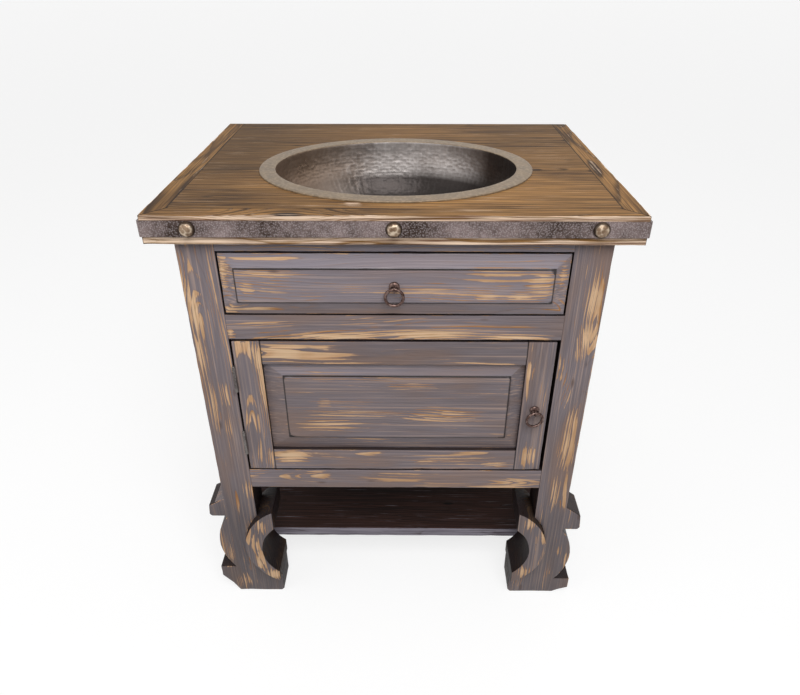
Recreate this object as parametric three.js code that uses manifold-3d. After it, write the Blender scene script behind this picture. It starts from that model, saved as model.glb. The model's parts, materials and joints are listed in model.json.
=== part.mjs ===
import * as THREE from 'three';
import { mergeVertices } from 'three/addons/utils/BufferGeometryUtils.js';
import Module from 'manifold-3d';

// A rustic pine vanity unit with a drop-in hammered copper sink. Lengths are millimetres.
// X runs to the right, Y from the front edge of the top towards the wall, Z up from the floor.

const wasm = await Module();
wasm.setup();

// Gaps between pieces
const seat = 0.3;
const mitreGap = 0.45;
const overrun = 2;

// Wooden top: a mitred edge board on three sides round three glued planks
const topWidth = 762;
const topDepth = 600;
const topHeight = 863.6;
const edgeBoardWidth = 32;
const topThickness = 45.6;
const frontPlankWidth = 203;
const plankBehindHole = 20;

// Iron strap round the edge, held by domed nails
const strapThickness = 3;
const strapHeight = 25.4;
const strapBelowTop = 7.6;
const strapCornerRadius = 3.5;
const nailHeadRadius = 12.7;
const nailHeadHeight = 8;
const nailShankRadius = 2;
const nailShankLength = 26;
const frontNailFromCorner = 71;
const sideNailFromBack = 130;

// Drop-in oval sink
const rimLength = 491;
const rimDepth = 399;
const rimWidth = 28.5;
const rimThickness = 2.5;
const rimEdgeRadius = 1;
const bowlDepth = 140;
const bowlWall = 2;
const bowlRoundness = 2.4;
const bowlFlatRadius = 34;
const sinkFromFront = 256;
const sinkHoleClearance = 3;

// Drain fitting in the bottom of the bowl
const drainHoleRadius = 22;
const drainBoreRadius = 16;
const drainTubeWall = 2.5;
const drainFlangeRadius = 30;
const drainFlangeThickness = 2.5;
const drainTubeLength = 95;
const drainNutRadius = 31;
const drainNutHeight = 10;

// Cabinet body
const sideOverhang = 40;
const frontSetback = 17;
const backSetback = 10;
const postWidth = 61;
const postDepth = 62;
const railThickness = 22;

// Scroll-cut feet of the front legs
const footWidth = 96.5;
const footCorner = 5;
const scrollProud = 18.3;
const scrollDepth = 89;
const scrollOuterRadius = 111.2;
const scrollOuterInset = 144.7;
const scrollOuterHeight = 151.5;
const scrollInnerRadius = 81.2;
const scrollInnerInset = 148.5;
const scrollInnerHeight = 143.8;
const earReach = 34;
const earTopReach = 31.5;
const earCorner = 5;
const earBottomHeight = 192;
const notchWidth = 5;
const notchDrop = 3;
const bulgeReach = 24.5;
const bulgeHeight = 147;
const toeReach = 33;
const toeTopHeight = 42;
const toeThickness = 28;
const toeBend = 13;
const leftProfileLift = 33;
const leftEarOuterHeight = 29;
const leftEarInnerHeight = 46;
const rightEarOuterHeight = 37;
const rightEarInnerHeight = 60;

// Face frame; the drawer and the door share the height between its rails
const cabinetFromFloor = 304.6;
const bottomRailHeight = 45.4;
const middleRailHeight = 47;
const topRailHeight = 18.8;
const drawerOpeningShare = 0.279;

// Sides, back, floor and shelf
const sideRailHeight = 60;
const sidePanelThickness = 12;
const sidePanelSetback = 6;
const backPanelThickness = 10;
const backPanelSetback = 8;
const pipeOpeningWidth = 260;
const pipeOpeningShares = [0.32, 0.76];
const floorThickness = 15;
const floorBelowRail = 2;
const shelfThickness = 22;
const shelfTopHeight = 116;
const shelfSetback = 8;
const stretcherHeight = 42;
const stretcherWidth = 30;
const stretcherSetback = 2;

// Door: stiles, rails and a raised panel
const doorHingeGap = 3;
const doorLatchGap = 5.5;
const doorTopGap = 3.5;
const doorBottomGap = 2.5;
const doorThickness = 20;
const stileWidth = 48;
const doorRailHeight = 47;
const grooveDepth = 7;
const tongueThickness = 6;
const tongueSetback = 10;
const panelBevelWidth = 27;
const panelBevelHingeSide = 33;
const panelBevelPullSide = 24;
const panelFieldSetback = 4;
const panelStep = 1.6;
const panelEdgeClearance = 1;

// Butt hinges
const hingeHeight = 51;
const hingeLeafWidth = 19;
const hingeLeafThickness = 1;
const hingeBarrelRadius = 3;
const hingePinRadius = 1.3;
const hingePinHeadRadius = 2.4;
const hingePinHeadHeight = 1.6;
const hingeKnuckles = 5;
const upperHingeShare = 0.73;
const lowerHingeShare = 0.23;

// Drawer
const drawerGap = 2.5;
const drawerFrontThickness = 22;
const drawerBevelWidth = 24;
const drawerFieldProud = 8;
const drawerStep = 1.6;
const drawerBoxInset = 12;
const drawerBowlClearance = 8;
const drawerBoxHeight = 56;
const drawerBoxRaise = 4.3;
const drawerSideThickness = 12;
const drawerBottomThickness = 6;
const drawerBottomRaise = 3;
const runnerWidth = 22;
const runnerHeight = 16;

// Ring pulls
const ringRadius = 14.4;
const ringWireRadius = 2.6;
const eyeWireRadius = 1.5;
const eyeBoreRadius = ringWireRadius + seat;
const eyeStandoff = 10.5;
const rosetteRadius = 8.8;
const rosetteHeight = 4;
const rosetteEdge = 1;
const doorRingTurn = THREE.MathUtils.degToRad(9);

// How finely round forms are faceted
const ovalSteps = 64;
const bowlSteps = 12;
const arcSteps = 22;
const roundSteps = 24;
const domeSteps = 5;
const wireSteps = 10;

// Places that many pieces share
const halfTop = topWidth / 2;
const halfCabinet = halfTop - sideOverhang;
const halfOpening = halfCabinet - postWidth;
const faceY = frontSetback;
const backY = topDepth - backSetback;
const topUnderside = topHeight - topThickness;
const legTop = topUnderside - seat;
const frontLegBack = faceY + postDepth;
const rearLegFront = backY - postDepth;
const railBack = faceY + railThickness;
const scrollFront = faceY - scrollProud;
const scrollBack = scrollFront + scrollDepth;
const bottomRailTop = cabinetFromFloor + bottomRailHeight;
const topRailBottom = topUnderside - topRailHeight;
const openingsHeight = topRailBottom - bottomRailTop - middleRailHeight;
const middleRailTop = topRailBottom - openingsHeight * drawerOpeningShare;
const middleRailBottom = middleRailTop - middleRailHeight;
const overallFront = -(strapThickness + 2 * seat + nailHeadHeight);

const finish = {
  stainedPine: new THREE.MeshStandardMaterial({ color: 0x6b4a30, roughness: 0.6, metalness: 0 }),
  paintedPine: new THREE.MeshStandardMaterial({ color: 0x6a6265, roughness: 0.72, metalness: 0 }),
  darkPine: new THREE.MeshStandardMaterial({ color: 0x3f3230, roughness: 0.65, metalness: 0 }),
  rawPine: new THREE.MeshStandardMaterial({ color: 0xc6a06c, roughness: 0.75, metalness: 0 }),
  hammeredIron: new THREE.MeshStandardMaterial({ color: 0x3a2f2f, roughness: 0.55, metalness: 0.8 }),
  agedBronze: new THREE.MeshStandardMaterial({ color: 0x8c8170, roughness: 0.45, metalness: 0.9 }),
  darkCopper: new THREE.MeshStandardMaterial({ color: 0x5c4d45, roughness: 0.4, metalness: 0.9 }),
  plainSteel: new THREE.MeshStandardMaterial({ color: 0xa9a7a2, roughness: 0.35, metalness: 0.95 })
};

const unit = new THREE.Group();

function addPiece(name, geometry, material, x = 0, y = 0, z = 0) {
  const mesh = new THREE.Mesh(geometry, material);
  mesh.name = name;
  mesh.position.set(x, y, z);
  unit.add(mesh);
  return mesh;
}

// A straight board between two corners of the bench frame
function addBoard(name, material, x0, x1, y0, y1, z0, z1) {
  const board = new THREE.BoxGeometry(x1 - x0, y1 - y0, z1 - z0);
  return addPiece(name, board, material, (x0 + x1) / 2, (y0 + y1) / 2, (z0 + z1) / 2);
}

function shapeOf(points) {
  return new THREE.Shape(points.map(([a, b]) => new THREE.Vector2(a, b)));
}

function prismAlongZ(points, length) {
  return new THREE.ExtrudeGeometry(shapeOf(points), { depth: length, bevelEnabled: false });
}

// The outline's two values are X and Z; the prism starts at Y = 0
function prismAlongY(points, length) {
  const prism = new THREE.ExtrudeGeometry(shapeOf(points), { depth: length, bevelEnabled: false });
  prism.rotateX(Math.PI / 2);
  prism.translate(0, length, 0);
  return prism;
}

// The outline's two values are Y and Z; the prism starts at X = 0
function prismAlongX(points, length) {
  const prism = new THREE.ExtrudeGeometry(shapeOf(points), { depth: length, bevelEnabled: false });
  const turn = new THREE.Matrix4().makeBasis(
    new THREE.Vector3(0, 1, 0), new THREE.Vector3(0, 0, 1), new THREE.Vector3(1, 0, 0));
  return prism.applyMatrix4(turn);
}

function arcPoints(centreA, centreB, radius, fromAngle, toAngle, steps) {
  const points = [];
  for (let i = 0; i <= steps; i++) {
    const angle = fromAngle + (toAngle - fromAngle) * i / steps;
    points.push([centreA + radius * Math.cos(angle), centreB + radius * Math.sin(angle)]);
  }
  return points;
}

// Joins rings of points, all with as many points, into one closed skin. A skin whose rings come
// back to the first needs no caps; the other kind is closed by a fan on its first and last ring.
function skinOf(rings, comesBack) {
  const count = rings[0].length;
  const position = rings.flat(2);
  const index = [];
  const bands = comesBack ? rings.length : rings.length - 1;
  for (let i = 0; i < bands; i++) {
    const next = (i + 1) % rings.length;
    for (let j = 0; j < count; j++) {
      const a = i * count + j;
      const b = i * count + (j + 1) % count;
      const c = next * count + j;
      const d = next * count + (j + 1) % count;
      index.push(a, b, d, a, d, c);
    }
  }
  if (!comesBack) {
    const last = (rings.length - 1) * count;
    for (let j = 1; j < count - 1; j++) {
      index.push(0, j + 1, j);
      index.push(last, last + j, last + j + 1);
    }
  }
  const skin = new THREE.BufferGeometry();
  skin.setAttribute('position', new THREE.Float32BufferAttribute(position, 3));
  skin.setIndex(index);
  if (signedVolume(skin) < 0) {
    for (let i = 0; i < index.length; i += 3) {
      [index[i], index[i + 1]] = [index[i + 1], index[i]];
    }
    skin.setIndex(index);
  }
  return skin;
}

function signedVolume(geometry) {
  const place = geometry.getAttribute('position');
  const index = geometry.getIndex();
  const corners = [new THREE.Vector3(), new THREE.Vector3(), new THREE.Vector3()];
  let volume = 0;
  for (let i = 0; i < index.count; i += 3) {
    corners.forEach((corner, k) => corner.fromBufferAttribute(place, index.getX(i + k)));
    volume += corners[0].dot(corners[1].clone().cross(corners[2])) / 6;
  }
  return volume;
}

function solidOf(geometry) {
  const bare = geometry.clone();
  bare.deleteAttribute('normal');
  bare.deleteAttribute('uv');
  const joined = mergeVertices(bare);
  return new wasm.Manifold(new wasm.Mesh({
    numProp: 3,
    vertProperties: new Float32Array(joined.getAttribute('position').array),
    triVerts: new Uint32Array(joined.getIndex().array)
  }));
}

function geometryOf(solid) {
  const mesh = solid.getMesh();
  const geometry = new THREE.BufferGeometry();
  geometry.setAttribute('position', new THREE.Float32BufferAttribute(mesh.vertProperties, 3));
  geometry.setIndex(Array.from(mesh.triVerts));
  return geometry;
}

function cutAway(geometry, cutters) {
  return geometryOf(cutters.reduce((solid, cutter) => solid.subtract(solidOf(cutter)), solidOf(geometry)));
}

function joinedTo(geometry, others) {
  return geometryOf(others.reduce((solid, other) => solid.add(solidOf(other)), solidOf(geometry)));
}

function placed(geometry, x, y, z) {
  return geometry.clone().translate(x, y, z);
}

// A nail, pin or bore: a cylinder along X, Y or Z, centred on its length
function rod(radius, length, axis, steps = roundSteps) {
  const cylinder = new THREE.CylinderGeometry(radius, radius, length, steps);
  if (axis === 'x') cylinder.rotateZ(Math.PI / 2);
  if (axis === 'z') cylinder.rotateX(Math.PI / 2);
  return cylinder;
}

function revolved(profile, steps = roundSteps) {
  const lathe = new THREE.LatheGeometry(profile.map(([r, h]) => new THREE.Vector2(r, h)), steps);
  return lathe.rotateX(Math.PI / 2);
}

function ovalRing(halfX, halfY, height) {
  const ring = [];
  for (let i = 0; i < ovalSteps; i++) {
    const angle = 2 * Math.PI * i / ovalSteps;
    ring.push([halfX * Math.cos(angle), halfY * Math.sin(angle), height]);
  }
  return ring;
}

// Nails go through the strap on the front and on both sides
function nailPlaces() {
  const height = topHeight - strapBelowTop - strapHeight / 2;
  const outer = halfTop - frontNailFromCorner;
  const front = [-outer, 0, outer].map((x) => [x, 0, height]);
  const sides = [-halfTop, halfTop].map((x) => [x, topDepth - sideNailFromBack, height]);
  return { front, sides };
}

function nailBores() {
  const { front, sides } = nailPlaces();
  const length = 2 * nailShankLength;
  const radius = nailShankRadius + seat;
  return [
    ...front.map(([x, y, z]) => placed(rod(radius, length, 'y'), x, y, z)),
    ...sides.map(([x, y, z]) => placed(rod(radius, length, 'x'), x, y, z))
  ];
}

function makeEdgeBoards() {
  const inner = halfTop - edgeBoardWidth;
  const bores = nailBores();
  const front = prismAlongZ([
    [-halfTop + mitreGap, 0], [halfTop - mitreGap, 0],
    [inner - mitreGap, edgeBoardWidth], [-inner + mitreGap, edgeBoardWidth]
  ], topThickness);
  addPiece('top_edge_board_front', cutAway(placed(front, 0, 0, topUnderside), bores), finish.stainedPine);
  for (const side of [-1, 1]) {
    const board = prismAlongZ([
      [side * halfTop, 0], [side * inner, edgeBoardWidth],
      [side * inner, topDepth], [side * halfTop, topDepth]
    ], topThickness);
    const name = side < 0 ? 'top_edge_board_left' : 'top_edge_board_right';
    addPiece(name, cutAway(placed(board, 0, 0, topUnderside), bores), finish.stainedPine);
  }
}

function makePlanks() {
  const halfLength = halfTop - edgeBoardWidth - seat;
  const firstSeam = edgeBoardWidth + frontPlankWidth;
  const secondSeam = sinkFromFront + holeHalfY() + plankBehindHole;
  const rows = [
    ['top_plank_front', edgeBoardWidth + seat, firstSeam],
    ['top_plank_middle', firstSeam + seat, secondSeam],
    ['top_plank_back', secondSeam + seat, topDepth]
  ];
  const hole = skinOf([
    ovalRing(holeHalfX(), holeHalfY(), topUnderside - overrun),
    ovalRing(holeHalfX(), holeHalfY(), topHeight + overrun)
  ], false).translate(0, sinkFromFront, 0);
  for (const [name, from, to] of rows) {
    const plank = new THREE.BoxGeometry(2 * halfLength, to - from, topThickness);
    plank.translate(0, (from + to) / 2, topHeight - topThickness / 2);
    addPiece(name, cutAway(plank, [hole]), finish.stainedPine);
  }
}

function holeHalfX() {
  return rimLength / 2 - rimWidth + bowlWall + sinkHoleClearance;
}

function holeHalfY() {
  return rimDepth / 2 - rimWidth + bowlWall + sinkHoleClearance;
}

// One flat bar bent round the front corners of the top
function makeStrap() {
  const inner = halfTop + seat;
  const outer = inner + strapThickness;
  const front = -seat - strapThickness;
  const bend = strapCornerRadius;
  const corner = (side) => arcPoints(side * (outer - bend), front + bend, bend,
    side < 0 ? Math.PI : 1.5 * Math.PI, side < 0 ? 1.5 * Math.PI : 2 * Math.PI, domeSteps);
  const outline = [
    [-inner, -seat], [-inner, topDepth], [-outer, topDepth],
    ...corner(-1), ...corner(1),
    [outer, topDepth], [inner, topDepth], [inner, -seat]
  ];
  const band = prismAlongZ(outline, strapHeight);
  band.translate(0, 0, topHeight - strapBelowTop - strapHeight);
  addPiece('iron_strap', cutAway(band, nailBores()), finish.hammeredIron);
}

// A domed head with its shank, standing on the strap's face along +Z
function nailForm() {
  const profile = [[0, -nailShankLength], [nailShankRadius, -nailShankLength], [nailShankRadius, 0]];
  const sag = nailHeadHeight;
  const dome = (nailHeadRadius ** 2 + sag ** 2) / (2 * sag);
  const reach = Math.asin(nailHeadRadius / dome);
  for (let i = 0; i <= domeSteps; i++) {
    const angle = reach * (1 - i / domeSteps);
    profile.push([dome * Math.sin(angle), sag - dome + dome * Math.cos(angle)]);
  }
  profile[profile.length - 1][0] = 0;
  return revolved(profile);
}

function makeNails() {
  const { front, sides } = nailPlaces();
  const stand = strapThickness + 2 * seat;
  const labels = ['left', 'centre', 'right'];
  front.forEach(([x, y, z], i) => {
    const nail = nailForm().rotateX(Math.PI / 2);
    addPiece(`clavo_front_${labels[i]}`, nail, finish.agedBronze, x, y - stand, z);
  });
  sides.forEach(([x, y, z]) => {
    const side = Math.sign(x);
    const nail = nailForm().rotateY(side * Math.PI / 2);
    const name = `clavo_side_${side < 0 ? 'left' : 'right'}`;
    addPiece(name, nail, finish.agedBronze, x + side * stand, y, z);
  });
}

// The bowl falls from the rim as a rounded oval and ends in a flat round seat for the drain
function bowlRings(wall) {
  const openX = rimLength / 2 - rimWidth + wall;
  const openY = rimDepth / 2 - rimWidth + wall;
  const depth = bowlDepth - rimThickness + wall;
  const flat = bowlFlatRadius + wall;
  const rings = [];
  for (let i = 0; i <= bowlSteps; i++) {
    const angle = Math.PI / 2 * i / bowlSteps;
    const reach = Math.cos(angle) ** (2 / bowlRoundness);
    const drop = Math.sin(angle) ** (2 / bowlRoundness);
    const halfX = flat + (openX - flat) * reach;
    const halfY = flat + (openY - flat) * reach;
    rings.push([halfX, halfY, -depth * drop]);
  }
  return rings;
}

// Where the bowl's outside comes forward to at a given height
function bowlFrontAt(height) {
  const depth = bowlDepth - rimThickness + bowlWall;
  const drop = Math.min(1, Math.max(0, (topHeight - height) / depth));
  const angle = Math.asin(drop ** (bowlRoundness / 2));
  const flat = bowlFlatRadius + bowlWall;
  const openY = rimDepth / 2 - rimWidth + bowlWall;
  return sinkFromFront - flat - (openY - flat) * Math.cos(angle) ** (2 / bowlRoundness);
}

function makeSink() {
  const inside = bowlRings(0).map(([a, b, h]) => ovalRing(a, b, h));
  const outside = bowlRings(bowlWall).map(([a, b, h]) => ovalRing(a, b, h - rimThickness / 2));
  const floorIn = -(bowlDepth - rimThickness);
  const floorOut = floorIn - bowlWall - rimThickness / 2;
  const rimTop = rimThickness / 2;
  const half = [rimLength / 2, rimDepth / 2];
  const rings = [
    ovalRing(drainHoleRadius, drainHoleRadius, floorIn),
    ...inside.reverse(),
    ovalRing(half[0] - rimWidth + rimEdgeRadius, half[1] - rimWidth + rimEdgeRadius, rimTop),
    ovalRing(half[0] - rimEdgeRadius, half[1] - rimEdgeRadius, rimTop),
    ovalRing(half[0], half[1], rimTop - rimEdgeRadius),
    ovalRing(half[0], half[1], -rimThickness / 2),
    ...outside,
    ovalRing(drainHoleRadius, drainHoleRadius, floorOut)
  ];
  const sink = skinOf(rings, true);
  addPiece('sink_bowl', sink, finish.darkCopper, 0, sinkFromFront, topHeight + seat + rimThickness / 2);
}

function makeDrain() {
  const middle = topHeight + seat + rimThickness / 2;
  const bowlFloor = middle - (bowlDepth - rimThickness);
  const bowlUnder = bowlFloor - bowlWall - rimThickness / 2;
  const tube = drainBoreRadius + drainTubeWall;
  const bottom = -drainTubeLength;
  const body = revolved([
    [drainBoreRadius, bottom], [tube, bottom], [tube, 0],
    [drainFlangeRadius, 0], [drainFlangeRadius, drainFlangeThickness / 2],
    [drainFlangeRadius - drainFlangeThickness, drainFlangeThickness],
    [drainBoreRadius, drainFlangeThickness / 2], [drainBoreRadius, bottom]
  ]);
  addPiece('drain_body', body, finish.darkCopper, 0, sinkFromFront, bowlFloor + seat);
  const bore = tube + seat;
  const nut = new THREE.CylinderGeometry(drainNutRadius, drainNutRadius, drainNutHeight, 6);
  nut.rotateX(Math.PI / 2);
  const cut = cutAway(nut, [rod(bore, drainNutHeight + overrun, 'z')]);
  addPiece('drain_nut', cut, finish.darkCopper, 0, sinkFromFront, bowlUnder - seat - drainNutHeight / 2);
}

// Outlines of the front leg are drawn from the post's outer face: the first value is the distance
// inwards, the second the height. The right leg's outer profile sits lower than the left one's.
const legRows = [
  { side: -1, label: 'left', lift: leftProfileLift, outer: leftEarOuterHeight, inner: leftEarInnerHeight },
  { side: 1, label: 'right', lift: 0, outer: rightEarOuterHeight, inner: rightEarInnerHeight }
];

function scrollSeatAngles(radius) {
  const low = Math.PI + Math.acos((scrollOuterInset - footWidth) / radius);
  const high = Math.PI - Math.acos((scrollOuterInset - postWidth) / radius);
  return [low, high];
}

function bulgePoints(topOfBulge) {
  const half = bulgeHeight / 2;
  const radius = (half ** 2 + bulgeReach ** 2) / (2 * bulgeReach);
  const spread = Math.asin(half / radius);
  return arcPoints(radius - bulgeReach, topOfBulge - half, radius,
    Math.PI - spread, Math.PI + spread, arcSteps / 2);
}

function frontLegOutline(row) {
  const earBottom = earBottomHeight + row.lift;
  const toeTop = toeTopHeight + row.lift;
  const toeBottom = toeTop - toeThickness;
  const seatRadius = scrollOuterRadius + seat;
  const [low, high] = scrollSeatAngles(seatRadius);
  const notchHeight = earBottom - notchDrop;
  return [
    [0, legTop],
    [0, earBottom + row.inner],
    [-earTopReach, earBottom + row.outer],
    [-earReach, earBottom + earCorner],
    [-earReach + earCorner, earBottom],
    [-notchWidth, earBottom],
    ...bulgePoints(notchHeight),
    [-toeReach, toeTop],
    [-toeReach, toeBottom],
    [-toeBend, toeBottom / 2],
    [0, 0],
    [footWidth - footCorner, 0],
    [footWidth, footCorner],
    ...arcPoints(scrollOuterInset, scrollOuterHeight, seatRadius, low, high, arcSteps),
    [postWidth, legTop]
  ];
}

function scrollOutline() {
  const outerSpread = Math.acos((scrollOuterInset - footWidth) / scrollOuterRadius);
  const innerSpread = Math.acos((scrollInnerInset - footWidth) / scrollInnerRadius);
  return [
    ...arcPoints(scrollOuterInset, scrollOuterHeight, scrollOuterRadius,
      Math.PI + outerSpread, Math.PI - outerSpread, arcSteps),
    ...arcPoints(scrollInnerInset, scrollInnerHeight, scrollInnerRadius,
      Math.PI - innerSpread, Math.PI + innerSpread, arcSteps)
  ];
}

// Turns an outline drawn from the post's outer face into X and Z on one side of the cabinet
function onSide(outline, side) {
  return outline.map(([inset, height]) => [side * (halfCabinet - inset), height]);
}

function makeLegs() {
  for (const row of legRows) {
    const leg = prismAlongY(onSide(frontLegOutline(row), row.side), postDepth);
    addPiece(`front_leg_${row.label}`, leg, finish.paintedPine, 0, faceY, 0);
    const scroll = prismAlongY(onSide(scrollOutline(), row.side), scrollDepth);
    addPiece(`foot_scroll_${row.label}`, scroll, finish.paintedPine, 0, scrollFront, 0);
    const inner = row.side * halfOpening;
    const outer = row.side * halfCabinet;
    addBoard(`rear_leg_${row.label}`, finish.paintedPine,
      Math.min(inner, outer), Math.max(inner, outer), rearLegFront, backY, 0, legTop);
  }
}

function makeFaceFrame() {
  const half = halfOpening - seat;
  const rows = [
    ['face_rail_top', topRailBottom, legTop],
    ['face_rail_middle', middleRailBottom, middleRailTop],
    ['face_rail_bottom', cabinetFromFloor, bottomRailTop]
  ];
  for (const [name, bottom, top] of rows) {
    addBoard(name, finish.paintedPine, -half, half, faceY, railBack, bottom, top);
  }
}

function makeSides() {
  const from = frontLegBack + seat;
  const to = rearLegFront - seat;
  const railTop = cabinetFromFloor + sideRailHeight;
  const railBottom = legTop - sideRailHeight;
  for (const { side, label } of legRows) {
    const between = (near, far) => [side * near, side * far].sort((a, b) => a - b);
    const rail = between(halfCabinet - railThickness, halfCabinet);
    const panelOut = halfCabinet - sidePanelSetback;
    const panel = between(panelOut - sidePanelThickness, panelOut);
    addBoard(`side_rail_bottom_${label}`, finish.paintedPine, ...rail, from, to, cabinetFromFloor, railTop);
    addBoard(`side_rail_top_${label}`, finish.paintedPine, ...rail, from, to, railBottom, legTop);
    addBoard(`side_panel_${label}`, finish.paintedPine, ...panel, from, to,
      railTop + seat, railBottom - seat);
  }
}

function makeBack() {
  const half = halfOpening - seat;
  const railFront = backY - railThickness;
  const railBottom = legTop - sideRailHeight;
  addBoard('back_rail_bottom', finish.paintedPine, -half, half, railFront, backY,
    cabinetFromFloor, bottomRailTop);
  addBoard('back_rail_top', finish.paintedPine, -half, half, railFront, backY, railBottom, legTop);
  const bottom = bottomRailTop + seat;
  const height = railBottom - seat - bottom;
  const panel = new THREE.BoxGeometry(2 * half, backPanelThickness, height);
  panel.translate(0, 0, bottom + height / 2);
  const [low, high] = pipeOpeningShares.map((share) => bottom + height * share);
  const opening = new THREE.BoxGeometry(pipeOpeningWidth, backPanelThickness + overrun, high - low);
  opening.translate(0, 0, (low + high) / 2);
  addPiece('back_panel', cutAway(panel, [opening]), finish.paintedPine,
    0, backY - backPanelSetback - backPanelThickness / 2, 0);
}

// The floor is notched round the four posts and ends against the rails
function makeFloor() {
  const wide = halfCabinet - railThickness - seat;
  const narrow = halfOpening - seat;
  const front = railBack + seat;
  const back = backY - railThickness - seat;
  const frontNotch = frontLegBack + seat;
  const backNotch = rearLegFront - seat;
  const outline = [
    [-narrow, front], [narrow, front], [narrow, frontNotch], [wide, frontNotch],
    [wide, backNotch], [narrow, backNotch], [narrow, back], [-narrow, back],
    [-narrow, backNotch], [-wide, backNotch], [-wide, frontNotch], [-narrow, frontNotch]
  ];
  const top = bottomRailTop - floorBelowRail;
  addPiece('cabinet_floor', prismAlongZ(outline, floorThickness), finish.darkPine,
    0, 0, top - floorThickness);
}

function makeShelf() {
  const half = halfCabinet - shelfSetback;
  const front = scrollBack + seat;
  const bottom = shelfTopHeight - shelfThickness;
  addBoard('shelf', finish.darkPine, -half, half, front, rearLegFront - seat, bottom, shelfTopHeight);
  for (const { side, label } of legRows) {
    const outer = side * (halfCabinet - stretcherSetback);
    const inner = outer - side * stretcherWidth;
    addBoard(`shelf_stretcher_${label}`, finish.paintedPine,
      Math.min(inner, outer), Math.max(inner, outer), frontLegBack + seat, rearLegFront - seat,
      bottom - seat - stretcherHeight, bottom - seat);
  }
}

const doorLeft = -halfOpening + doorHingeGap;
const doorRight = halfOpening - doorLatchGap;
const doorBottom = bottomRailTop + doorBottomGap;
const doorTop = middleRailBottom - doorTopGap;
const doorBack = faceY + doorThickness;
const tongueFront = faceY + tongueSetback;
const tongueBack = tongueFront + tongueThickness;

// A stile's or rail's section with the panel groove in its inner edge, drawn from its outer edge
function groovedSection(width) {
  const near = tongueFront - seat;
  const far = tongueBack + seat;
  const floor = width - grooveDepth;
  return [
    [0, faceY], [width, faceY], [width, near], [floor, near],
    [floor, far], [width, far], [width, doorBack], [0, doorBack]
  ];
}

function makeDoorFrame() {
  const height = doorTop - doorBottom;
  const section = groovedSection(stileWidth);
  const left = prismAlongZ(section.map(([w, y]) => [doorLeft + w, y]), height);
  const right = prismAlongZ(section.map(([w, y]) => [doorRight - w, y]), height);
  addPiece('door_stile_left', left, finish.paintedPine, 0, 0, doorBottom);
  addPiece('door_stile_right', right, finish.paintedPine, 0, 0, doorBottom);
  const from = doorLeft + stileWidth + seat;
  const length = doorRight - stileWidth - seat - from;
  const rail = groovedSection(doorRailHeight);
  const lower = prismAlongX(rail.map(([w, y]) => [y, doorBottom + w]), length);
  const upper = prismAlongX(rail.map(([w, y]) => [y, doorTop - w]), length);
  addPiece('door_rail_bottom', lower, finish.paintedPine, from, 0, 0);
  addPiece('door_rail_top', upper, finish.paintedPine, from, 0, 0);
}

function upright(x0, x1, z0, z1, y) {
  return [[x0, y, z0], [x1, y, z0], [x1, y, z1], [x0, y, z1]];
}

function shrunk(frame, margin, y) {
  const [x0, x1, z0, z1] = frame;
  return upright(x0 + margin, x1 - margin, z0 + margin, z1 - margin, y);
}

// The flat field of the door panel, which sits nearer to the pull side
function panelField(opening, y) {
  const [x0, x1, z0, z1] = opening;
  const left = x0 + panelBevelHingeSide;
  return upright(left, x1 - panelBevelPullSide, z0 + panelBevelWidth, z1 - panelBevelWidth, y);
}

// A flat field, a small step, a wide bevel, then a thin tongue that stands in the frame's groove
function makeDoorPanel() {
  const opening = [doorLeft + stileWidth, doorRight - stileWidth,
    doorBottom + doorRailHeight, doorTop - doorRailHeight];
  const reach = grooveDepth - panelEdgeClearance;
  const field = faceY + panelFieldSetback;
  const rings = [
    panelField(opening, field),
    panelField(opening, field + panelStep),
    shrunk(opening, 0, tongueFront),
    shrunk(opening, -reach, tongueFront),
    shrunk(opening, -reach, tongueBack)
  ];
  addPiece('door_panel', skinOf(rings, false), finish.paintedPine);
}

const hingeX = -halfOpening + doorHingeGap / 2;
const hingeY = faceY - hingeBarrelRadius - seat;

// The two leaves stand in the gap between post and door; their knuckles alternate on the pin
function makeHinge(label, height) {
  const pitch = hingeHeight / hingeKnuckles;
  const bottom = height - hingeHeight / 2;
  const bore = rod(hingePinRadius + seat, hingeHeight + overrun, 'z');
  bore.translate(hingeX, hingeY, height);
  const plateStart = faceY;
  const leaf = (name, plateX, first) => {
    const plate = new THREE.BoxGeometry(hingeLeafThickness, hingeLeafWidth, hingeHeight);
    plate.translate(plateX, plateStart + hingeLeafWidth / 2, height);
    const knuckles = [];
    for (let i = first; i < hingeKnuckles; i += 2) {
      const middle = bottom + (i + 0.5) * pitch;
      const tall = pitch - seat;
      knuckles.push(rod(hingeBarrelRadius, tall, 'z', roundSteps).translate(hingeX, hingeY, middle));
      const neck = new THREE.BoxGeometry(hingeLeafThickness, plateStart - hingeY + seat, tall);
      knuckles.push(neck.translate(plateX, (plateStart + seat + hingeY) / 2, middle));
    }
    const whole = joinedTo(plate, knuckles);
    addPiece(name, cutAway(whole, [bore]), finish.plainSteel);
  };
  const spread = doorHingeGap / 2 - seat - hingeLeafThickness / 2;
  leaf(`hinge_${label}_post_leaf`, hingeX - spread, 0);
  leaf(`hinge_${label}_door_leaf`, hingeX + spread, 1);
  const half = hingeHeight / 2;
  const tip = half + seat;
  const pin = revolved([
    [0, -tip], [hingePinRadius, -tip], [hingePinRadius, tip], [hingePinHeadRadius, tip],
    [hingePinHeadRadius, tip + hingePinHeadHeight / 2],
    [hingePinHeadRadius / 2, tip + hingePinHeadHeight], [0, tip + hingePinHeadHeight]
  ]);
  addPiece(`hinge_${label}_pin`, pin, finish.plainSteel, hingeX, hingeY, height);
}

const drawerBottom = middleRailTop + drawerGap;
const drawerTop = topRailBottom - drawerGap;

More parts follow.
